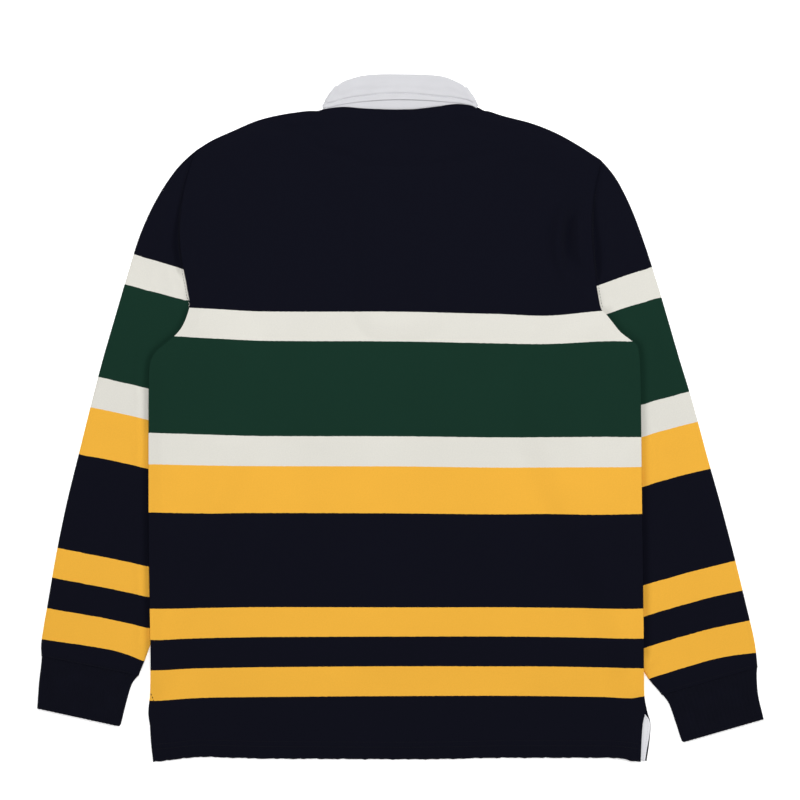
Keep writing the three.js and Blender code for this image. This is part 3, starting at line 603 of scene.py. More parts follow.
# %% Cloth surface helpers
def cloth_uv(tree):
    """The cloth's UV map, and its metres across and down."""
    uv = add_node(tree, "ShaderNodeUVMap", {"uv_map": "cloth"}).outputs[0]
    apart = add_node(tree, "ShaderNodeSeparateXYZ", None, {0: uv})
    return uv, apart.outputs[0], apart.outputs[1]


def noise(tree, uv, scale, detail):
    inputs = {"Vector": uv, "Scale": scale, "Detail": detail}
    return add_node(tree, "ShaderNodeTexNoise", {"noise_dimensions": "2D"}, inputs).outputs[0]


def add_cloth_surface(tree, colour, shade, height, depth, strength,
                      roughness=0.95, specular=0.08, nap=0.5):
    """A colour times a shade, with a relief of some depth."""
    tint = add_node(tree, "ShaderNodeVectorMath", {"operation": "SCALE"},
                    {0: colour, "Scale": shade})
    bump = add_node(tree, "ShaderNodeBump", None,
                    {"Height": height, "Distance": depth, "Strength": strength})
    add_surface(tree, {"Base Color": tint.outputs[0], "Roughness": roughness,
                       "Specular IOR Level": specular, "Sheen Weight": 0.02,
                       "Sheen Roughness": nap, "Normal": bump.outputs[0]})


def knit_height(tree, across, down, wale, course):
    """Height of a plain knit: columns of V-shaped loops, from metres across and down the cloth."""
    column = maths(tree, "FRACT", maths(tree, "DIVIDE", across, wale))
    off_middle = maths(tree, "ABSOLUTE", maths(tree, "SUBTRACT", column, 0.5))
    ridge = maths(tree, "SINE", maths(tree, "MULTIPLY", column, math.pi))
    slope = maths(tree, "MULTIPLY", off_middle, 1.3)
    slant = maths(tree, "ADD", maths(tree, "DIVIDE", down, course), slope)
    loops = maths(tree, "SINE", maths(tree, "MULTIPLY", slant, 2 * math.pi))
    return maths(tree, "ADD", ridge, maths(tree, "MULTIPLY", loops, 0.35))


# %% [markdown]
# ## Heavy striped jersey
# Rugby jersey is a thick cotton knit: columns of small V-shaped loops. Each colour change is one
# hard step at its distance down the cloth, jogged by a fraction of a loop because a colour change
# follows the loops. The loops are drawn at their real size, 1.1 mm wide, so from afar they melt
# into a matt surface.

# %% Jersey material
NAVY, GREEN, IVORY, YELLOW = "090A16", "122F24", "D7D5CD", "E9AD3C"
STRIPE_RUN = list(zip(DOWN_CLOTH, (IVORY, GREEN, IVORY, YELLOW, NAVY, YELLOW, NAVY, YELLOW, NAVY)))
WALE, COURSE = 0.0011, 0.0008


def jersey_material():
    material, tree = new_material("heavy_cotton_jersey_striped")
    uv, across, down = cloth_uv(tree)
    off = maths(tree, "SUBTRACT", noise(tree, uv, 260.0, 1.0), 0.5)
    jogged = maths(tree, "MULTIPLY_ADD", off, 0.0005, down)
    dyed = srgb(NAVY)
    for start, colour in STRIPE_RUN:
        past = maths(tree, "GREATER_THAN", jogged, start * 0.001)
        mix = add_node(tree, "ShaderNodeMix", {"data_type": "RGBA"},
                       {0: past, 6: dyed, 7: srgb(colour)})
        dyed = mix.outputs[2]
    # Slubs and uneven dye: a slow change and a fine one, a few hundredths either way.
    shade = maths(tree, "MULTIPLY_ADD", noise(tree, uv, 9.0, 3.0), 0.07, 0.88)
    shade = maths(tree, "MULTIPLY_ADD", noise(tree, uv, 700.0, 2.0), 0.10, shade)
    loops = knit_height(tree, across, down, WALE, COURSE)
    fuzzy = maths(tree, "MULTIPLY_ADD", noise(tree, uv, 1500.0, 2.0), 0.6, loops)
    add_cloth_surface(tree, dyed, shade, fuzzy, 0.00012, 0.3)
    return material


jersey = jersey_material()

# %% [markdown]
# ## Rib knit and collar twill
# The cuffs are a navy rib: raised columns of loops with valleys between, stretchy and matt. The
# collar, the placket and the vent tape are a white cotton twill, whose weft steps one thread over
# in each row, so that fine lines run slantwise. Real twill lines are about 0.6 mm apart; here they
# are drawn 1.3 mm apart, so that they still show from where the camera is.

# %% Rib and twill materials
RIB_WALE, RIB_COURSE = 0.0011, 0.0012
TWILL_STEP, TWILL_THREAD = 0.0018, 0.0008  # metres across the cloth


def rib_material():
    material, tree = new_material("navy_cotton_rib_knit")
    uv, across, down = cloth_uv(tree)
    loops = knit_height(tree, across, down, RIB_WALE, RIB_COURSE)
    shade = maths(tree, "MULTIPLY_ADD", noise(tree, uv, 60.0, 3.0), 0.3, 0.85)
    add_cloth_surface(tree, srgb("090A15")[:3], shade, loops, 0.0002, 0.4)
    return material


def twill_material(name, code):
    material, tree = new_material(name)
    uv, across, down = cloth_uv(tree)
    slant = maths(tree, "ADD", across, down)
    lines = maths(tree, "SINE", maths(tree, "MULTIPLY", slant, 2 * math.pi / TWILL_STEP))
    threads = maths(tree, "SINE", maths(tree, "MULTIPLY", across, 2 * math.pi / TWILL_THREAD))
    woven = maths(tree, "MULTIPLY_ADD", threads, 0.3, lines)
    shade = maths(tree, "MULTIPLY_ADD", noise(tree, uv, 40.0, 3.0), 0.06, 0.97)
    add_cloth_surface(tree, srgb(code)[:3], shade, woven, 0.00012, 0.3,
                      roughness=0.9, specular=0.1, nap=0.4)
    return material


rib_knit = rib_material()
twill = twill_material("white_cotton_twill", "C7C7CB")
# The tape is the same weave, painted whiter than the collar twill: painted light that lifts the
# shade the back panel's edge casts on the tape.
tape_twill_painted_light = twill_material("bleached_cotton_twill_tape", "E0E0E4")

# %% [markdown]
# ## From a grid of points to a piece of cloth
# Each piece is worked out as a grid of points on the middle of the cloth, with its UV map in
# metres of cloth. Solidify then gives it the cloth's thickness and closes its edges, and a small
# bevel rounds the cut edge as a turned edge is round. Both are applied, to leave a plain mesh.

# %% Cloth maker
TURNED_EDGE = 0.00035


def edit_mesh(mesh, operation):
    """Runs one operation on a mesh that is opened for editing."""
    opened = bmesh.new()
    opened.from_mesh(mesh)
    operation(opened)
    opened.to_mesh(mesh)
    opened.free()


def delete_loose(opened):
    loose = [v for v in opened.verts if not v.link_faces]
    bmesh.ops.delete(opened, geom=loose, context="VERTS")


def cloth_mesh(name, points, uvs, round_closed=False, present=None):
    """A surface from a grid of points; a closed one joins its last column to its first."""
    rows, columns = points.shape[:2]
    faces, places = [], []
    for r in range(rows - 1):
        for c in range(columns if round_closed else columns - 1):
            if present is not None and not present[r, c]:
                continue
            here, below = r * columns, (r + 1) * columns
            d = (c + 1) % columns
            faces.append((here + c, below + c, below + d, here + d))
            places.append((uvs[r, c], uvs[r + 1, c], uvs[r + 1, c + 1], uvs[r, c + 1]))
    mesh = bpy.data.meshes.new(name)
    mesh.from_pydata(points.reshape(-1, 3).tolist(), [], faces)
    layer = mesh.uv_layers.new(name="cloth")
    layer.data.foreach_set("uv", np.array(places, float).reshape(-1))
    edit_mesh(mesh, delete_loose)
    return mesh


def apply_modifiers(piece, material=None):
    graph = bpy.context.evaluated_depsgraph_get()
    shaped = bpy.data.meshes.new_from_object(piece.evaluated_get(graph))
    shaped.name = piece.name
    piece.modifiers.clear()
    piece.data = shaped
    if material is not None:
        shaped.materials.clear()
        shaped.materials.append(material)
    shaped.shade_smooth()
    print(piece.name, len(shaped.polygons), "faces")
    return piece


def print_area(piece):
    """A sheet's area is about half of its whole surface."""
    area = sum(face.area for face in piece.data.polygons) / 2
    print(piece.name, "sheet area", round(area, 4))


def make_cloth(name, points, uvs, material, flip=False, **grid):
    """Thickens a grid of points into cloth, rounds its edges and applies both."""
    mesh = cloth_mesh(name, np.asarray(points), np.asarray(uvs), **grid)
    if flip:
        mesh.flip_normals()
    cloth = add_object(name, mesh)
    solidify = cloth.modifiers.new("Thickness", "SOLIDIFY")
    solidify.thickness = CLOTH
    solidify.offset = 0
    solidify.use_rim = True
    rounding = cloth.modifiers.new("Turned edge", "BEVEL")
    rounding.width = TURNED_EDGE
    rounding.segments = 2
    rounding.limit_method = "ANGLE"
    rounding.angle_limit = math.radians(50)
    apply_modifiers(cloth, material)
    print_area(cloth)
    return cloth


def spread(lengths, step, edge_steps=()):
    """Positions counted in table rows, so close that no step is longer than step squares."""
    last = len(lengths)
    places = [last, *edge_steps, *(last - s for s in edge_steps)]
    for i, length in enumerate(lengths):
        count = max(1, math.ceil(length / step))
        places.extend(i + np.arange(count) / count)
    return np.unique(np.round(places, 6))


# %% [markdown]
# ## Back and front panels
# The two panels lie on each other and meet at the shoulders and the side seams, where the back's
# edge dips into the seam. The hem is a doubled band 22 mm deep. The back lies on all that is under
# it:
# the sleeves turned in below the body, the collar, the placket and the front.

# %% Panel shapes
HEM_DEPTH = 0.022
FINE = 3.1  # the longest step between points, in squares
SHOULDERS = ((0, 5), (17, ACROSS_LAST))  # the rows of the first table that are seams
top_steps = np.hypot(np.diff(panel_columns["hem"]), np.diff(panel_columns["hem_row"]))
side_steps = np.hypot(np.diff(side_rows["left"]), np.diff(side_rows["left_row"]))
EDGE_STEPS = (0.02, 0.05, 0.1, 0.16)
across_places = spread(top_steps, FINE, EDGE_STEPS)
down_places = spread(side_steps, FINE, EDGE_STEPS)
down_grid, across_grid = np.meshgrid(down_places, across_places, indexing="ij")


def seam_chains(top_key, side_key):
    """The sewn outline of a panel, without its hem and neckline, as chains in squares."""
    def chain(across, down):
        return np.stack(panel_plan(across, down, top_key, side_key), axis=-1)

    down = np.linspace(0, DOWN_LAST, 97)
    sides = [chain(np.full(97, across), down) for across in (0, ACROSS_LAST)]
    shoulders = [chain(np.linspace(a, b, 12), np.zeros(12)) for a, b in SHOULDERS]
    return sides + shoulders


def hem_wander(column, down):
    """The stitches of the hem pull its edge into tiny uneven scallops."""
    waves = ((0.71, 0.0, 0.22), (0.43, 1.7, 0.20), (1.13, 4.1, 0.12), (0.19, 2.2, 0.16))
    scallops = sum(size * np.sin(column * rate + start) for rate, start, size in waves)
    dip = 1.3 * bell(column - 633, 5.5)
    return (scallops + dip) * smooth((down - DOWN_LAST + 0.25) / 0.25)


def panel(name, top_key, side_key, height_of, **grid):
    column, row = panel_plan(across_grid, down_grid, top_key, side_key)
    row = row + hem_wander(column, down_grid)
    points = place(column, row, height_of(column, row) + CLOTH / 2)
    uvs = np.stack([grid_x(column), down_the_cloth(column, row, body_stripes)], axis=-1)
    return make_cloth(name, points, uvs, jersey, **grid)


def edge_distance(column, row, chains):
    """Metres from each point to the nearest of some chains."""
    return np.min([distance_to(chain, column, row) for chain in chains], axis=0) * SQUARE


def hem_distance(column, row):
    hem = list(zip(panel_columns["hem"], panel_columns["hem_row"]))
    return edge_distance(column, row, [[(120, 764), *hem, (680, 763)]])


def armhole_at(side, down):
    return between(side_rows[side], down), between(side_rows[side + "_row"], down)


def armhole_distance(column, row):
    down = np.linspace(0, ARMHOLE_ROWS, 29)
    chains = [np.stack(armhole_at(side, down), axis=-1) for side in ("left", "right")]
    return edge_distance(column, row, chains)


def near_underarm(row):
    """How near a row is to the underarm, where the armhole seam's allowances are bulky."""
    return bell(row - 250, 40)


def armhole_lift(column, row):
    bulk = (CLOTH + 0.0050 * near_underarm(row)) * bell(armhole_distance(column, row), 0.011)
    return bulk * (1 - smooth(front_lift(column, row) / 0.004))


def back_height(column, row):
    """Height of the back panel's underside."""
    support, sunk = under_back(column, row)
    seam = edge_distance(column, row, seam_chains("back", "right"))
    hem = hem_distance(column, row)
    # The cloth opens up within 16 mm of a seam and 14 mm of the hem.
    open_up = smooth(seam / 0.016) * smooth(hem / 0.014)
    folds = creases(back_creases, column, row) + slow_waves(column, row, 0.0008)
    folds = folds + sum(long_crease(rows, column, row) for rows in long_creases)
    dip = 0.00018 * bell(seam, 0.0012)
    hem_band = 0.00015 * (1 - smooth((hem - HEM_DEPTH) / 0.0012))
    loose = open_up * (LOOSE * (1 - sunk) + folds)
    return support + armhole_lift(column, row) + HAIR + loose + hem_band - dip


def front_height(column, row):
    """Height of the front panel's underside, creases and all."""
    seam = edge_distance(column, row, seam_chains("front", "vent"))
    free = smooth(seam / 0.02) * smooth(hem_distance(column, row) / 0.02)
    return front_lift(column, row) + free * creases(front_creases, column, row)


back_panel = panel("Back_panel_cloth", "back", "right", back_height)
# The placket's opening is left out of the front, at the middle two columns down from the neck.
neck_opening = (across_grid >= 10) & (across_grid < 12) & (down_grid < 7)
front_panel = panel("Front_panel_cloth", "front", "vent", front_height, present=~neck_opening)

# %% [markdown]
# ## Sleeves
# Each sleeve is a tube pressed flat: a ring with two round folds at each section of the table,
# joined from the armhole down to the cuff. The top of the ring is a little fuller in the middle,
# with soft creases where the arm bends and where the cloth is gathered into the cuff.

# %% Sleeve shapes
FOLD_STEPS, TOP_STEPS, FOOT_STEPS = 9, 40, 26
RING_TOP = slice(FOLD_STEPS + 2, FOLD_STEPS + TOP_STEPS - 3)  # the upper side, clear of the folds


def ring(width, height):
    """Stations round a flattened ring: how far across it and how high each lies."""
    turns = np.radians(np.linspace(-90, 90, FOLD_STEPS))
    radius = height / 2
    fold, fold_rise = radius - radius * np.cos(turns), radius + radius * np.sin(turns)
    top = np.linspace(radius, width - radius, TOP_STEPS + 1)[1:-1]
    foot = np.linspace(width - radius, radius, FOOT_STEPS + 1)[1:-1]
    across = np.concatenate([fold, top, width - fold[::-1], foot])
    rise = [fold_rise, np.full(len(top), height), fold_rise[::-1], np.zeros(len(foot))]
    return across, np.concatenate(rise)


def sleeve_plan(rows, position, share, armhole=None):
    """Plan place, in squares, of a share of the way across a section, bowed as the armhole is."""
    fade = max(0.0, 1 - position / 4) if armhole else 0.0
    found = []
    for suffix in ("", "_row"):
        outer, inner = (between(rows[key + suffix], position) for key in ("outer", "inner"))
        straight = outer + (inner - outer) * share
        if fade:
            edge = side_rows[armhole + suffix]
            first, last = edge[0], edge[ARMHOLE_ROWS]
            bow = between(edge, share * ARMHOLE_ROWS) - first - (last - first) * share
            straight = straight + fade * bow
        found.append(straight)
    return found


def section_width(rows, position):
    """Metres from a section's outer end to its inner one."""
    ends = np.array(sleeve_plan(rows, position, np.array([0.0, 1.0])))
    return float(np.hypot(*(ends[:, 1] - ends[:, 0]))) * SQUARE


left_sleeve_creases = table(
    CREASE,
    (170, 190, 150, 300, 7, 0.7), (140, 300, 120, 380, 7, 0.5), (132, 470, 100, 560, 8, 0.6),
    (70, 520, 110, 545, 6, 0.4), (120, 600, 96, 655, 6, 0.5), (80, 610, 70, 655, 5, 0.4),
    (150, 235, 176, 262, 6, -0.4), (100, 420, 130, 432, 7, 0.4),
)
right_sleeve_creases = table(
    CREASE,
    (622, 200, 634, 300, 7, 0.7), (655, 310, 672, 390, 7, 0.5), (664, 480, 696, 570, 8, 0.6),
    (728, 530, 690, 552, 6, 0.4), (680, 612, 700, 672, 6, 0.5), (722, 620, 730, 665, 5, 0.4),
    (640, 246, 612, 270, 6, -0.4), (694, 440, 664, 446, 7, 0.4),
)


def sleeve(side, rows, hidden, crease_rows, stripes):
    outer_steps = np.hypot(np.diff(rows["outer"]), np.diff(rows["outer_row"]))
    positions = spread(outer_steps, FINE, (0.03, 0.08))
    middle_height = SLEEVE_HEIGHT - CLOTH
    last = len(rows["outer"]) - 1
    inwards = 1 if side == "left" else -1
    body_armhole, body_side = chain_of(side_rows, side, 0, 8), chain_of(side_rows, side, 8, 20)
    points, uvs = [], []
    for position in positions:
        width = section_width(rows, position) - CLOTH
        across, rise = ring(width, middle_height)
        share = (across + CLOTH / 2) / (width + CLOTH)
        column, row = sleeve_plan(rows, position, share, side)
        on_top = np.where(rise > middle_height * 0.5, (rise / middle_height - 0.5) * 2, 0)
        # Its head is tucked under the body's edge, and its lower end into the cuff.
        column = column + inwards * (0.45 + 0.4 * on_top) * (1 - smooth(position / 0.35))
        row = row + 0.45 * smooth((position - last + 0.3) / 0.3)
        # The upper side is full in the middle where it shows, and puffs up above the cuff.
        inside = smooth(np.minimum(across, width - across) / 0.012)
        shown = 1 - patch(hidden, column, row, 3, 8)
        ends = smooth(position / 0.4) * smooth((last - position) / 0.25)
        fuller = creases(crease_rows, column, row) + slow_waves(column, row, 0.0006) + 0.0004
        puff = 0.0006 * bell(last - 0.35 - position, 0.3)
        height = rise + CLOTH / 2 + on_top * inside * (fuller * shown * ends + puff)
        # It dips where it runs under the body's side seam, with a soft ridge beside the dip.
        side_away = distance_to(body_side, column, row)
        ridge = 0.0015 * bell(side_away - 10, 4) * inside * (1 - holds(hidden, column, row))
        height = height + on_top * (ridge - 0.0022 * bell(side_away, 4.5)) * smooth(position)
        # At the armhole it falls into a valley beside the seam, widest at the underarm.
        seam_away = distance_to(body_armhole, column, row)
        underarm = near_underarm(row)
        height = height + on_top * (0.0004 + 0.0012 * underarm) * bell(seam_away - 15, 6) * inside
        climb = smooth((seam_away - 1.0 - 2.5 * underarm) / (6 + 6 * underarm))
        at_seam = (armhole_lift(column, row) - CLOTH) * (1 - smooth(seam_away / 1.2))
        ceiling = front_lift(column, row) + 1.5 * CLOTH + 0.0060 * climb + at_seam
        points.append(place(column, row, np.minimum(height, ceiling)))
        round_it = np.concatenate([[0], np.cumsum(np.hypot(np.diff(across), np.diff(rise)))])
        strip = np.stack([round_it, down_the_cloth(column, row, stripes)], axis=-1)
        uvs.append([*strip, (round_it[-1] + 0.001, strip[0, 1])])
    shaped = make_cloth(f"Sleeve_{side}_cloth", points, uvs, jersey,
                        flip=side == "left", round_closed=True)
    return shaped, positions, np.array(points)


sleeve_left, left_positions, left_rings = sleeve(
    "left", left_sleeve, left_hidden, left_sleeve_creases, left_stripes)
sleeve_right, right_positions, right_rings = sleeve(
    "right", right_sleeve, right_hidden, right_sleeve_creases, right_stripes)

# %% [markdown]
# ## Rib cuffs
# A rib repeats evenly round the cuff, so Geometry Nodes raises it. The plain flattened tube
# carries how far round each point is, and the tree moves each point along its normal by a wave of
# that number. Change the count or the depth in the modifier and the whole cuff follows.

# %% Rib tree
def open_tree(name, numbers):
    """A tree that takes a geometry, some named numbers and a material, and gives a geometry."""
    tree = bpy.data.node_groups.new(name, "GeometryNodeTree")
    tree.interface.new_socket("Geometry", in_out="INPUT", socket_type="NodeSocketGeometry")
    for label, value in numbers:
        socket = tree.interface.new_socket(label, in_out="INPUT", socket_type="NodeSocketFloat")
        socket.default_value = value
    tree.interface.new_socket("Material", in_out="INPUT", socket_type="NodeSocketMaterial")
    tree.interface.new_socket("Geometry", in_out="OUTPUT", socket_type="NodeSocketGeometry")
    return tree, add_node(tree, "NodeGroupInput").outputs


def close_tree(tree, given, made):
    """Makes the geometry real, dresses it and hands it out."""
    real = add_node(tree, "GeometryNodeRealizeInstances", None, {0: made.outputs[0]})
    dressed = add_node(tree, "GeometryNodeSetMaterial", None,
                       {"Geometry": real.outputs[0], "Material": given["Material"]})
    add_node(tree, "NodeGroupOutput", None, {0: dressed.outputs[0]})
    return tree


def rib_tree():
    tree, given = open_tree("Raise_ribs", (("Ribs round", 42.0), ("Rib depth", 0.0006)))
    round_share, outside = (
        add_node(tree, "GeometryNodeInputNamedAttribute", {"data_type": "FLOAT"},
                 {0: name}).outputs[0]
        for name in ("round_share", "outside"))
    turns = maths(tree, "MULTIPLY", round_share, given["Ribs round"])
    wave = maths(tree, "COSINE", maths(tree, "MULTIPLY", turns, 2 * math.pi))
    raised = maths(tree, "MULTIPLY_ADD", wave, 0.5, -0.5)
    depth = maths(tree, "MULTIPLY", maths(tree, "MULTIPLY", raised, given["Rib depth"]), outside)
    normal = add_node(tree, "GeometryNodeInputNormal").outputs[0]
    offset = add_node(tree, "ShaderNodeVectorMath", {"operation": "SCALE"},
                      {0: normal, "Scale": depth})
    moved = add_node(tree, "GeometryNodeSetPosition", None,
                     {"Geometry": given["Geometry"], "Offset": offset.outputs[0]})
    return close_tree(tree, given, moved)


def use_tree(piece, tree, **values):
    """Runs a tree on a piece with its inputs set by their identifiers."""
    modifier = piece.modifiers.new(tree.name, "NODES")
    modifier.node_group = tree
    for socket in tree.interface.items_tree:
        key = socket.name.replace(" ", "_")
        if socket.in_out == "INPUT" and key in values:
            modifier[socket.identifier] = values[key]
    return piece


# %% [markdown]
# The cuff's wall is thick enough for its ribs: the outer face is drawn in the valleys and the
# plain inside stays where it is. The sleeve is gathered into the cuff over its first centimetre.

# %% Cuff shapes
ribs = rib_tree()
RIBS_ROUND, STEPS_A_RIB = 42, 8
HALF_TURN = math.pi * CUFF_HEIGHT / 2
CORNER = 0.0024
CUFF_DEPTH = 0.055
CUFF_PLACES = np.unique([*np.linspace(0, 3, 19), 0.03, 0.08, 2.89, 2.92, 2.95, 2.97, 2.985, 2.995])


def cuff_wall(width, length, inset):
    """Round a flattened tube, an inset in from its outer face: how far across and how high."""
    straight, radius = width - CUFF_HEIGHT, CUFF_HEIGHT / 2
    on_top = length < straight
    on_inner = (length >= straight) & (length < straight + HALF_TURN)
    on_foot = (length >= straight + HALF_TURN) & (length < 2 * straight + HALF_TURN)
    inner_turn = 90 - 180 * (length - straight) / HALF_TURN
    outer_turn = -90 + 180 * (length - 2 * straight - HALF_TURN) / HALF_TURN
    turn = np.where(on_inner, inner_turn, outer_turn) * math.pi / 180
    reach = radius - (radius - inset) * np.cos(turn)
    across = np.where(on_inner, width - reach, reach)
    across = np.where(on_top, radius + length, across)
    across = np.where(on_foot, width - radius - (length - straight - HALF_TURN), across)
    rise = radius + (radius - inset) * np.sin(turn)
    return across, np.where(on_top, CUFF_HEIGHT - inset, np.where(on_foot, inset, rise))


def merge_ends(opened):
    bmesh.ops.remove_doubles(opened, verts=opened.verts, dist=1e-7)


def cuff(side, rows, flip):
    """A tube with an outer and an inner wall; flip turns the mirrored one's faces outwards."""
    name = f"Cuff_{side}_rib"
    steps = RIBS_ROUND * STEPS_A_RIB
    share = (np.arange(steps) + 0.5) / steps
    outer, inner, uvs = [], [], []
    for position in CUFF_PLACES:
        width = section_width(rows, position)
        length = share * 2 * (width - CUFF_HEIGHT + HALF_TURN)
        # The free end's corner is rounded, and soft gathers show where the sleeve is sewn on.
        near_end = np.clip((position - 2.86) / 0.14, 0, 1)
        rounding = CORNER * (1 - math.sqrt(1 - near_end**2))
        for inset, wall in ((0.0, outer), (CLOTH, inner)):
            across, rise = cuff_wall(width, length, inset)
            rise = rise + 0.0003 * (rise / CUFF_HEIGHT) * (1 - smooth(position / 0.4))
            gather = 0.0003 * np.sin(across / 0.006 + 1) * np.exp(-position * 1.5)
            gather = gather * smooth(np.minimum(across, width - across) / 0.008)
            rise = rise + np.where(length < width - CUFF_HEIGHT, gather, 0)
            across = across - rounding * smooth(across / width * 2 - 1)
            wall.append(place(*sleeve_plan(rows, position, across / width), rise))
        round_it = [*length, length[-1] + length[0] * 2]
        uvs.append(np.stack([round_it, np.full(steps + 1, position / 3 * CUFF_DEPTH)], axis=-1))
    walls = np.array(outer + inner[::-1] + outer[:1])
    mesh = cloth_mesh(name, walls, np.array(uvs + uvs[::-1] + uvs[:1]), round_closed=True)
    edit_mesh(mesh, merge_ends)
    if flip:
        mesh.flip_normals()
    count = len(CUFF_PLACES)
    for label, values in (("round_share", np.tile(share, 2 * count)),
                          ("outside", np.repeat([1.0, 0.0], count * steps))):
        mesh.attributes.new(label, "FLOAT", "POINT").data.foreach_set("value", values)
    piece = add_object(name, mesh)
    use_tree(piece, ribs, Ribs_round=float(RIBS_ROUND), Rib_depth=0.00045, Material=rib_knit)
    apply_modifiers(piece)
    print_area(piece)
    return piece


cuff_left = cuff("left", left_cuff, False)
cuff_right = cuff("right", right_cuff, True)

# %% [markdown]
# ## The collar
# The collar goes round the neck as one band: up from the neck seam, over at the roll and down
# again to its edge. Laid flat, its back half lies on the table above the shirt, and at both sides
# it folds under and runs below the front. A station is one cut through the band, and the stations
# at the side folds turn it over.

# %% Collar stations
ROLL_RADIUS = 0.00115
FOLD_RADIUS = 0.0017
FRONT_SEAM_HEIGHT = OVER_LEAF + CLOTH / 2
LEAF_ON_TABLE = CLOTH / 2 + 0.0004  # its topstitching takes up the rest
FRONT_ROLL_HEIGHT = LEAF_ON_TABLE + 2 * ROLL_RADIUS


def stations(rows, seam, roll, edge, away):
    """One cut through the band for each row of a table, from the heights of its three lines."""
    return {
        "seam": place(rows["seam"], rows["seam_row"], seam),
        "roll": place(rows["roll"], rows["roll_row"], roll),
        "edge": place(rows["edge"], rows["edge_row"], edge),
        "away": np.tile([0.0, 0.0, away], (len(rows["seam"]), 1)),
    }


def front_stations(rows):
    return stations(rows, FRONT_SEAM_HEIGHT, FRONT_ROLL_HEIGHT, LEAF_ON_TABLE, -1.0)


def back_stations(rows):
    seam = back_neck_height(rows["seam"]) + CLOTH / 2
    share = (rows["seam_row"] - rows["edge_row"]) / (rows["seam_row"] - rows["roll_row"])
    open_edge = 0.0009 * bell(rows["edge"] - NECK_CENTRE, 40)
    edge = seam + 0.0012 * share + CLOTH + SEAM_GAP + open_edge
    return stations(rows, seam, seam + 0.0006, edge, 1.0)


def fold_stations(seam, seam_row, roll, roll_row, top, top_row, towards, angles):
    """Stations that turn the band over its side fold; the roll ends at top, on the upper side."""
    along = np.array([roll - seam, seam_row - roll_row, 0.0])
    along /= np.linalg.norm(along)
    inward = np.array([along[1] * towards, -along[0] * towards, 0.0])
    found = {"seam": [], "roll": [], "edge": [], "away": []}
    for angle in np.radians(angles):
        away = -inward * math.cos(angle) + np.array([0, 0, math.sin(angle)])
        shift = inward * FOLD_RADIUS + away * FOLD_RADIUS
        seam_point = place(seam, seam_row, FRONT_SEAM_HEIGHT + FOLD_RADIUS) + shift
        edge_point = seam_point + away * (CLOTH + SEAM_GAP) + along * 0.0012
        edge_point[2] = max(edge_point[2], LEAF_ON_TABLE)
        found["seam"].append(seam_point)
        turned = (1 + math.sin(angle)) / 2
        to_top = place(top, top_row, 0.0) - place(roll, roll_row, 0.0)
        over = turned * (to_top - inward * FOLD_RADIUS)
        found["roll"].append(place(roll, roll_row, FRONT_ROLL_HEIGHT + FOLD_RADIUS) + shift + over)
        found["edge"].append(edge_point)
        found["away"].append(away)
    return {key: np.array(value) for key, value in found.items()}


FOLD_ANGLES = (-90, -50, 0, 50, 90)
runs = [
    front_stations(collar_front),
    fold_stations(323.2, 108.0, 333.6, 93.8, 337.4, 87.9, 1, FOLD_ANGLES),
    back_stations(collar_back),
    fold_stations(477.4, 107.4, 467.3, 95.6, 465.2, 89.2, -1, FOLD_ANGLES[::-1]),
    front_stations(collar_front_right),
]
collar_stations = {key: np.concatenate([run[key] for run in runs]) for key in runs[0]}
collar_lengths = np.linalg.norm(np.diff(collar_stations["roll"], axis=0), axis=1) / SQUARE
collar_places = spread(collar_lengths, 3.0, (0.03, 0.1))


def collar_at(position):
    found = {key: np.array([between(value[:, i], position) for i in range(3)])
             for key, value in collar_stations.items()}
    found["away"] /= np.linalg.norm(found["away"])
    return found


# %% [markdown]
# The stand is the part below the roll. The leaf starts at the roll, turns over it and falls to its
# edge, with a shallow groove where its topstitching pulls it in, about 6 mm from the edge.

# %% Collar stand and leaf
leaf_creases = table(
    CREASE,
    (338, 98, 360, 89, 3, -0.9), (358, 91, 398, 88.5, 2.4, -0.8), (404, 88.5, 446, 92.5, 2.6, -0.6),
    (352, 84, 384, 81.5, 5, 0.7), (446, 89, 468, 98.5, 3, -0.8), (336, 93, 343, 100, 3, -0.9),
    (420, 82, 452, 86, 5, 0.6),
)


def topstitch_in(column):
    """How far the topstitching runs in from the leaf's edge: a hand-guided line, 5 to 7 mm."""
    return np.interp(column, (334, 345, 376, 402, 421, 440, 460),
                     (0.0056, 0.0059, 0.0067, 0.0070, 0.0063, 0.0053, 0.0054))


def stand_section(at, rise):
    t = np.linspace(0, 1, 13)[:, None]
    return at["seam"] + (at["roll"] - rise * 0.0001 - at["seam"]) * t


def leaf_section(at, rise):
    """Half a turn round the roll, then the fall to the edge."""
    away, edge = at["away"], at["edge"]
    turns = np.radians(np.linspace(0, 180, 11))[:, None]
    roll = at["roll"] + (away + rise * np.sin(turns) - away * np.cos(turns)) * ROLL_RADIUS
    t = np.linspace(0, 1, 31)[1:, None]
    fall = roll[-1] + (edge - roll[-1]) * t
    from_edge = (1 - t) * np.linalg.norm(edge - roll[-1])
    off_line = from_edge - topstitch_in(column_at(edge[0]))
    groove = (0.0003 + 0.0012 * abs(away[2])) * bell(off_line, 0.0009)
    belly = 0.0009 * np.sin(np.pi * t) * smooth((1 - t) * 3)
    # Only the back half, which shows, has worn creases.
    if away[2] > 0.9:
        column, row = column_at(fall[:, :1]), GRID_ROW - fall[:, 1:2] / SQUARE
        belly = belly + creases(leaf_creases, column, row) * np.sin(np.pi * t)
    fall = fall + away * (belly - groove)
    fall[:, 2] = np.maximum(fall[:, 2], LEAF_ON_TABLE)
    return np.concatenate([roll, fall])


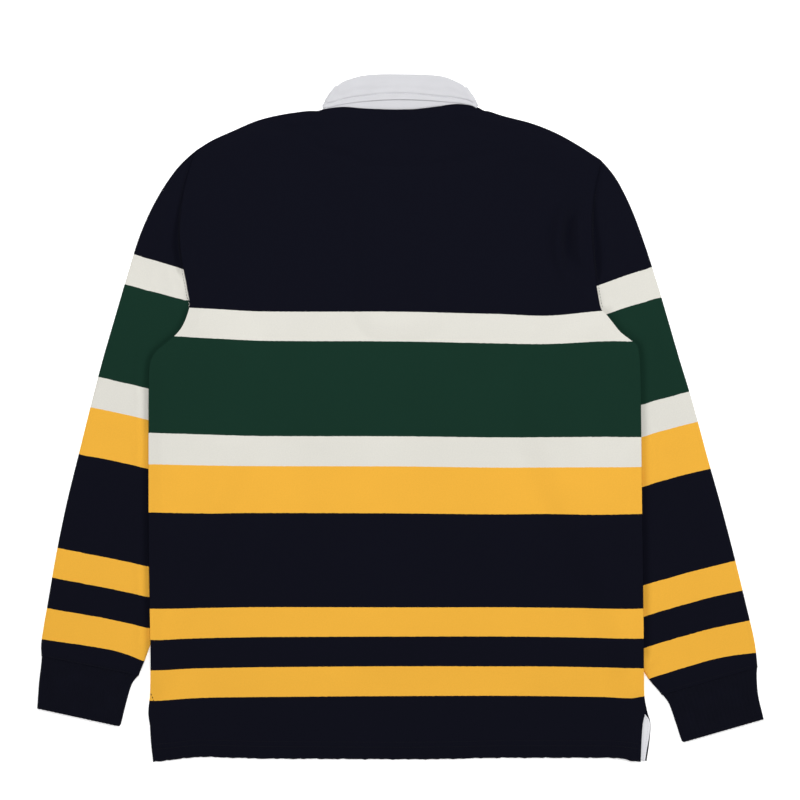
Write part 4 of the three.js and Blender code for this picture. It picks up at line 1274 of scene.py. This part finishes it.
def collar_grid(section):
    points, uvs = [], []
    along_roll, before = 0.0, None
    for position in collar_places:
        at = collar_at(position)
        if before is not None:
            along_roll += float(np.linalg.norm(at["roll"] - before))
        before = at["roll"]
        rise = at["roll"] - at["seam"]
        middle = section(at, rise / np.linalg.norm(rise))
        steps = np.concatenate([[0], np.cumsum(np.linalg.norm(np.diff(middle, axis=0), axis=1))])
        points.append(middle)
        uvs.append(np.stack([np.full(len(steps), along_roll), steps], axis=-1))
    return np.array(points), np.array(uvs)


collar_stand = make_cloth("Collar_stand_twill", *collar_grid(stand_section), twill)
leaf_points, leaf_uvs = collar_grid(leaf_section)
collar_leaf = make_cloth("Collar_leaf_twill", leaf_points, leaf_uvs, twill)

# %% [markdown]
# ## Placket, buttons and vent tape
# The front opening is out of sight under the shirt and is finished plainly: two strips of twill
# with rubber buttons between them. At the right side vent the front's edge is bound on the inside
# with a strip of the same twill, and that strip shows as a white line beside the back.

# %% Strips
def placket_strip(name, width, foot):
    x = np.linspace(-width / 2, width / 2, 9) + grid_x(NECK_CENTRE)
    y = grid_y(PLACKET_TOP) - np.linspace(0, PLACKET_LENGTH, 41)
    points = np.stack([*np.meshgrid(x, y), np.full((41, 9), foot + CLOTH / 2)], axis=-1)
    return make_cloth(name, points, points[..., :2], twill)


placket_upper = placket_strip("Placket_upper_twill", PLACKET_WIDTH, 0.0)
placket_under = placket_strip("Placket_under_twill", PLACKET_WIDTH - 0.004, 2 * (CLOTH + SEAM_GAP))


def vent_tape_grid():
    """The tape follows the front's edge past the side's last rows, and narrows to its upper end."""
    points = []
    for position in np.concatenate([np.linspace(20.95, 22, 14)[:-1], np.linspace(22, 24, 20)]):
        outer_share = np.interp(position, (20.95, 21.4, 22.0, 22.6, 23.4),
                                (0.84, 0.95, 0.985, 0.965, 0.915))
        share = np.linspace(0.3, outer_share, 13)
        down = position + 0.3 * share * max(0.0, (22 - position) / 0.8)
        ends = [np.array(panel_plan(np.full(13, ACROSS_LAST - 1.0 + k), down, "front", "vent"))
                for k in (0, 1)]
        column, row = ends[0] + (ends[1] - ends[0]) * share
        points.append(place(column, row, front_lift(column, row) + 1.5 * CLOTH + 2 * HAIR))
    return np.array(points)


tape_points = vent_tape_grid()
vent_tape = make_cloth("Vent_tape_twill", tape_points, tape_points[..., :2], tape_twill_painted_light)

# %% [markdown]
# ## Stitches
# A machine lays one stitch after another along a line, so Geometry Nodes does it too: it walks
# along a chain of points and sets a short rounded thread at every step, turned along the chain.
# The thread is a stretched sphere, half sunk in the cloth. White thread sews the twill and navy
# thread the jersey, where it all but vanishes, as on the real shirt.

# %% Stitch tree
def stitch_tree():
    tree, given = open_tree("Lay_stitches", (("Pitch", 0.003), ("Stitch length", 0.0024),
                                             ("Thread radius", 0.0003)))
    chain = add_node(tree, "GeometryNodeMeshToCurve", None, {0: given["Geometry"]})
    steps = add_node(tree, "GeometryNodeResampleCurve", {"mode": "LENGTH"},
                     {"Curve": chain.outputs[0], "Length": given["Pitch"]})
    along = add_node(tree, "GeometryNodeInputTangent").outputs[0]
    turned = add_node(tree, "FunctionNodeAlignRotationToVector", {"axis": "Z"}, {"Vector": along})
    thread = add_node(tree, "GeometryNodeMeshUVSphere", None,
                      {"Segments": 8, "Rings": 5, "Radius": 1.0})
    half = maths(tree, "MULTIPLY", given["Stitch length"], 0.5)
    radius = given["Thread radius"]
    size = add_node(tree, "ShaderNodeCombineXYZ", None, {0: radius, 1: radius, 2: half})
    laid = add_node(tree, "GeometryNodeInstanceOnPoints", None,
                    {"Points": steps.outputs[0], "Instance": thread.outputs[0],
                     "Rotation": turned.outputs[0], "Scale": size.outputs[0]})
    return close_tree(tree, given, laid)


def thread_material(name, code):
    """Spun polyester thread: a soft sheen on a matt body."""
    material, tree = new_material(name)
    add_surface(tree, {"Base Color": srgb(code), "Roughness": 0.7, "Specular IOR Level": 0.2})
    return material


stitches = stitch_tree()
white_thread = thread_material("white_polyester_thread", "CFCED3")
navy_thread = thread_material("navy_polyester_thread", "07080F")
ivory_thread = thread_material("ivory_polyester_thread", "C9C6BE")


def stitch_row(name, chains, material, pitch, length, radius):
    mesh = bpy.data.meshes.new(name)
    corners, edges = [], []
    for chain in chains:
        first = len(corners)
        corners.extend(np.asarray(chain).tolist())
        edges.extend((first + i, first + i + 1) for i in range(len(chain) - 1))
    mesh.from_pydata(corners, edges, [])
    row = add_object(name, mesh)
    use_tree(row, stitches, Pitch=pitch, Stitch_length=length, Thread_radius=radius,
             Material=material)
    return apply_modifiers(row)


# %% [markdown]
# Each chain lies on the top face of its cloth: in the groove of the collar's leaf, along the hem,
# beside both armholes, where the cuffs are sewn on and down the vent tape. A short slanting tack
# closes the left end of the hem, and at the left underarm a small end of ivory thread stands up.

# %% Stitch chains
ON_CLOTH = np.array([0, 0, CLOTH / 2 + HAIR])  # from the middle of the cloth to its top face
NAVY_STITCH = (navy_thread, 0.0034, 0.0026, 0.0002)
BESIDE_ARMHOLE = 2.2  # squares out from the seam
ABOVE_CUFF = 12.9  # counted in rows of the sleeve's table


def leaf_chain():
    """The topstitching on the leaf's outer face."""
    chain = []
    for station, position in zip(leaf_points, collar_places):
        inset = topstitch_in(column_at(station[-1, 0]))
        lengths = np.linalg.norm(np.diff(station, axis=0), axis=1)
        from_edge = np.append(np.cumsum(lengths[::-1])[::-1], 0.0)
        point = [np.interp(inset, from_edge[::-1], station[::-1, i]) for i in range(3)]
        chain.append(np.array(point) + collar_at(position)["away"] * ON_CLOTH[2])
    return chain


def on_back(column, row, beside=0.0):
    """A chain on the back panel's top face; beside lays it some squares to the right."""
    return place(column + beside, row, back_height(column, row) + CLOTH + HAIR)


def hem_chain(above):
    """A line of stitches some squares above the hem's edge."""
    column = np.linspace(157, 637, 200)
    edge = np.interp(column, panel_columns["hem"], panel_columns["hem_row"])
    return on_back(column, edge - above)


def on_sleeve(rings, column, row):
    """A chain at the height of the sleeve's nearest points."""
    top = rings[:, RING_TOP].reshape(-1, 3)
    chain = place(column, row, 0.0)
    for point in chain:
        away = np.linalg.norm(top[:, :2] - point[:2], axis=1)
        near = np.argsort(away)[:4]
        point[2] = np.average(top[near, 2], weights=1 / (away[near] + 1e-5)) + CLOTH / 2 + 0.00003
    return chain


def sleeve_stitches(side, positions, rings):
    """One line beside the armhole, and one across the sleeve above the cuff."""
    column, row = armhole_at(side, np.linspace(0.4, ARMHOLE_ROWS - 0.15, 90))
    out = -BESIDE_ARMHOLE if side == "left" else BESIDE_ARMHOLE
    across = rings[np.argmin(np.abs(positions - ABOVE_CUFF))][RING_TOP] + ON_CLOTH
    chains = [on_sleeve(rings, column + out, row), across]
    return stitch_row(f"Sleeve_{side}_stitches", chains, *NAVY_STITCH)


def thread_end(*places):
    """Columns and rows along one short end of thread, bent through a few places."""
    column, row = np.array(places).T
    along = np.linspace(0, len(places) - 1, 20)
    return between(column, along), between(row, along)


collar_stitches = stitch_row("Collar_topstitch", [leaf_chain()],
                             white_thread, 0.0032, 0.0027, 0.0003)
tack = thread_end((150.8, 694.6), (152.0, 697.4), (153.4, 700.6))
hem_chains = [hem_chain(17.5), hem_chain(12.5)] + [on_back(*tack, 0.3 * i) for i in range(3)]
hem_stitches = stitch_row("Hem_stitches", hem_chains, *NAVY_STITCH)
left_stitches = sleeve_stitches("left", left_positions, left_rings)
right_stitches = sleeve_stitches("right", right_positions, right_rings)
loop = thread_end((188.9, 302.6), (189.7, 303.5), (189.8, 304.8), (189.1, 306.0))
loop_chain = on_sleeve(left_rings, *loop) + (0, 0, 0.0016)
loop_thread = stitch_row("Sleeve_left_loop", [loop_chain], ivory_thread, 0.0008, 0.0014, 0.00022)
tape_chain = tape_points[3:, 10] + ON_CLOTH
tape_stitches = stitch_row("Vent_tape_stitches", [tape_chain], white_thread, 0.003, 0.0024, 0.00025)

# %% [markdown]
# The buttons are off-white rubber, cast smooth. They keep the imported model's solids, which have
# their full shape, and only their surface is drawn here.

# %% Button rubber
rubber, tree = new_material("off_white_cast_rubber")
own_place = add_node(tree, "ShaderNodeTexCoord").outputs["Object"]
grain = add_node(tree, "ShaderNodeTexNoise", None,
                 {"Vector": own_place, "Scale": 900.0, "Detail": 2.0})
rubber_bump = add_node(tree, "ShaderNodeBump", None,
                       {"Height": grain.outputs[0], "Distance": 0.00003, "Strength": 0.5})
add_surface(tree, {"Base Color": srgb("E2DFD8"), "Roughness": 0.45,
                   "Normal": rubber_bump.outputs[0]})
for number in (1, 2, 3):
    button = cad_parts[f"button_{number}"]
    button.data.materials.clear()
    button.data.materials.append(rubber)

# %% [markdown]
# ## How the pieces join the model
# Each piece of cloth rides with the model's root and takes the place of one of its solids, which
# is hidden. The stitches ride with the root too.

# %% Attach what rides and hide what it replaces
def declare(piece, node):
    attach(piece, "root")
    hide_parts(node)


for row in (collar_stitches, hem_stitches, left_stitches, right_stitches, loop_thread,
            tape_stitches):
    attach(row, "root")
declare(back_panel, "back_panel")
declare(front_panel, "front_panel")
declare(sleeve_left, "sleeve_left")
declare(sleeve_right, "sleeve_right")
declare(cuff_left, "cuff_left")
declare(cuff_right, "cuff_right")
declare(collar_stand, "collar_stand")
declare(collar_leaf, "collar_leaf")
declare(placket_upper, "placket_upper")
declare(placket_under, "placket_under")
declare(vent_tape, "vent_tape_right")
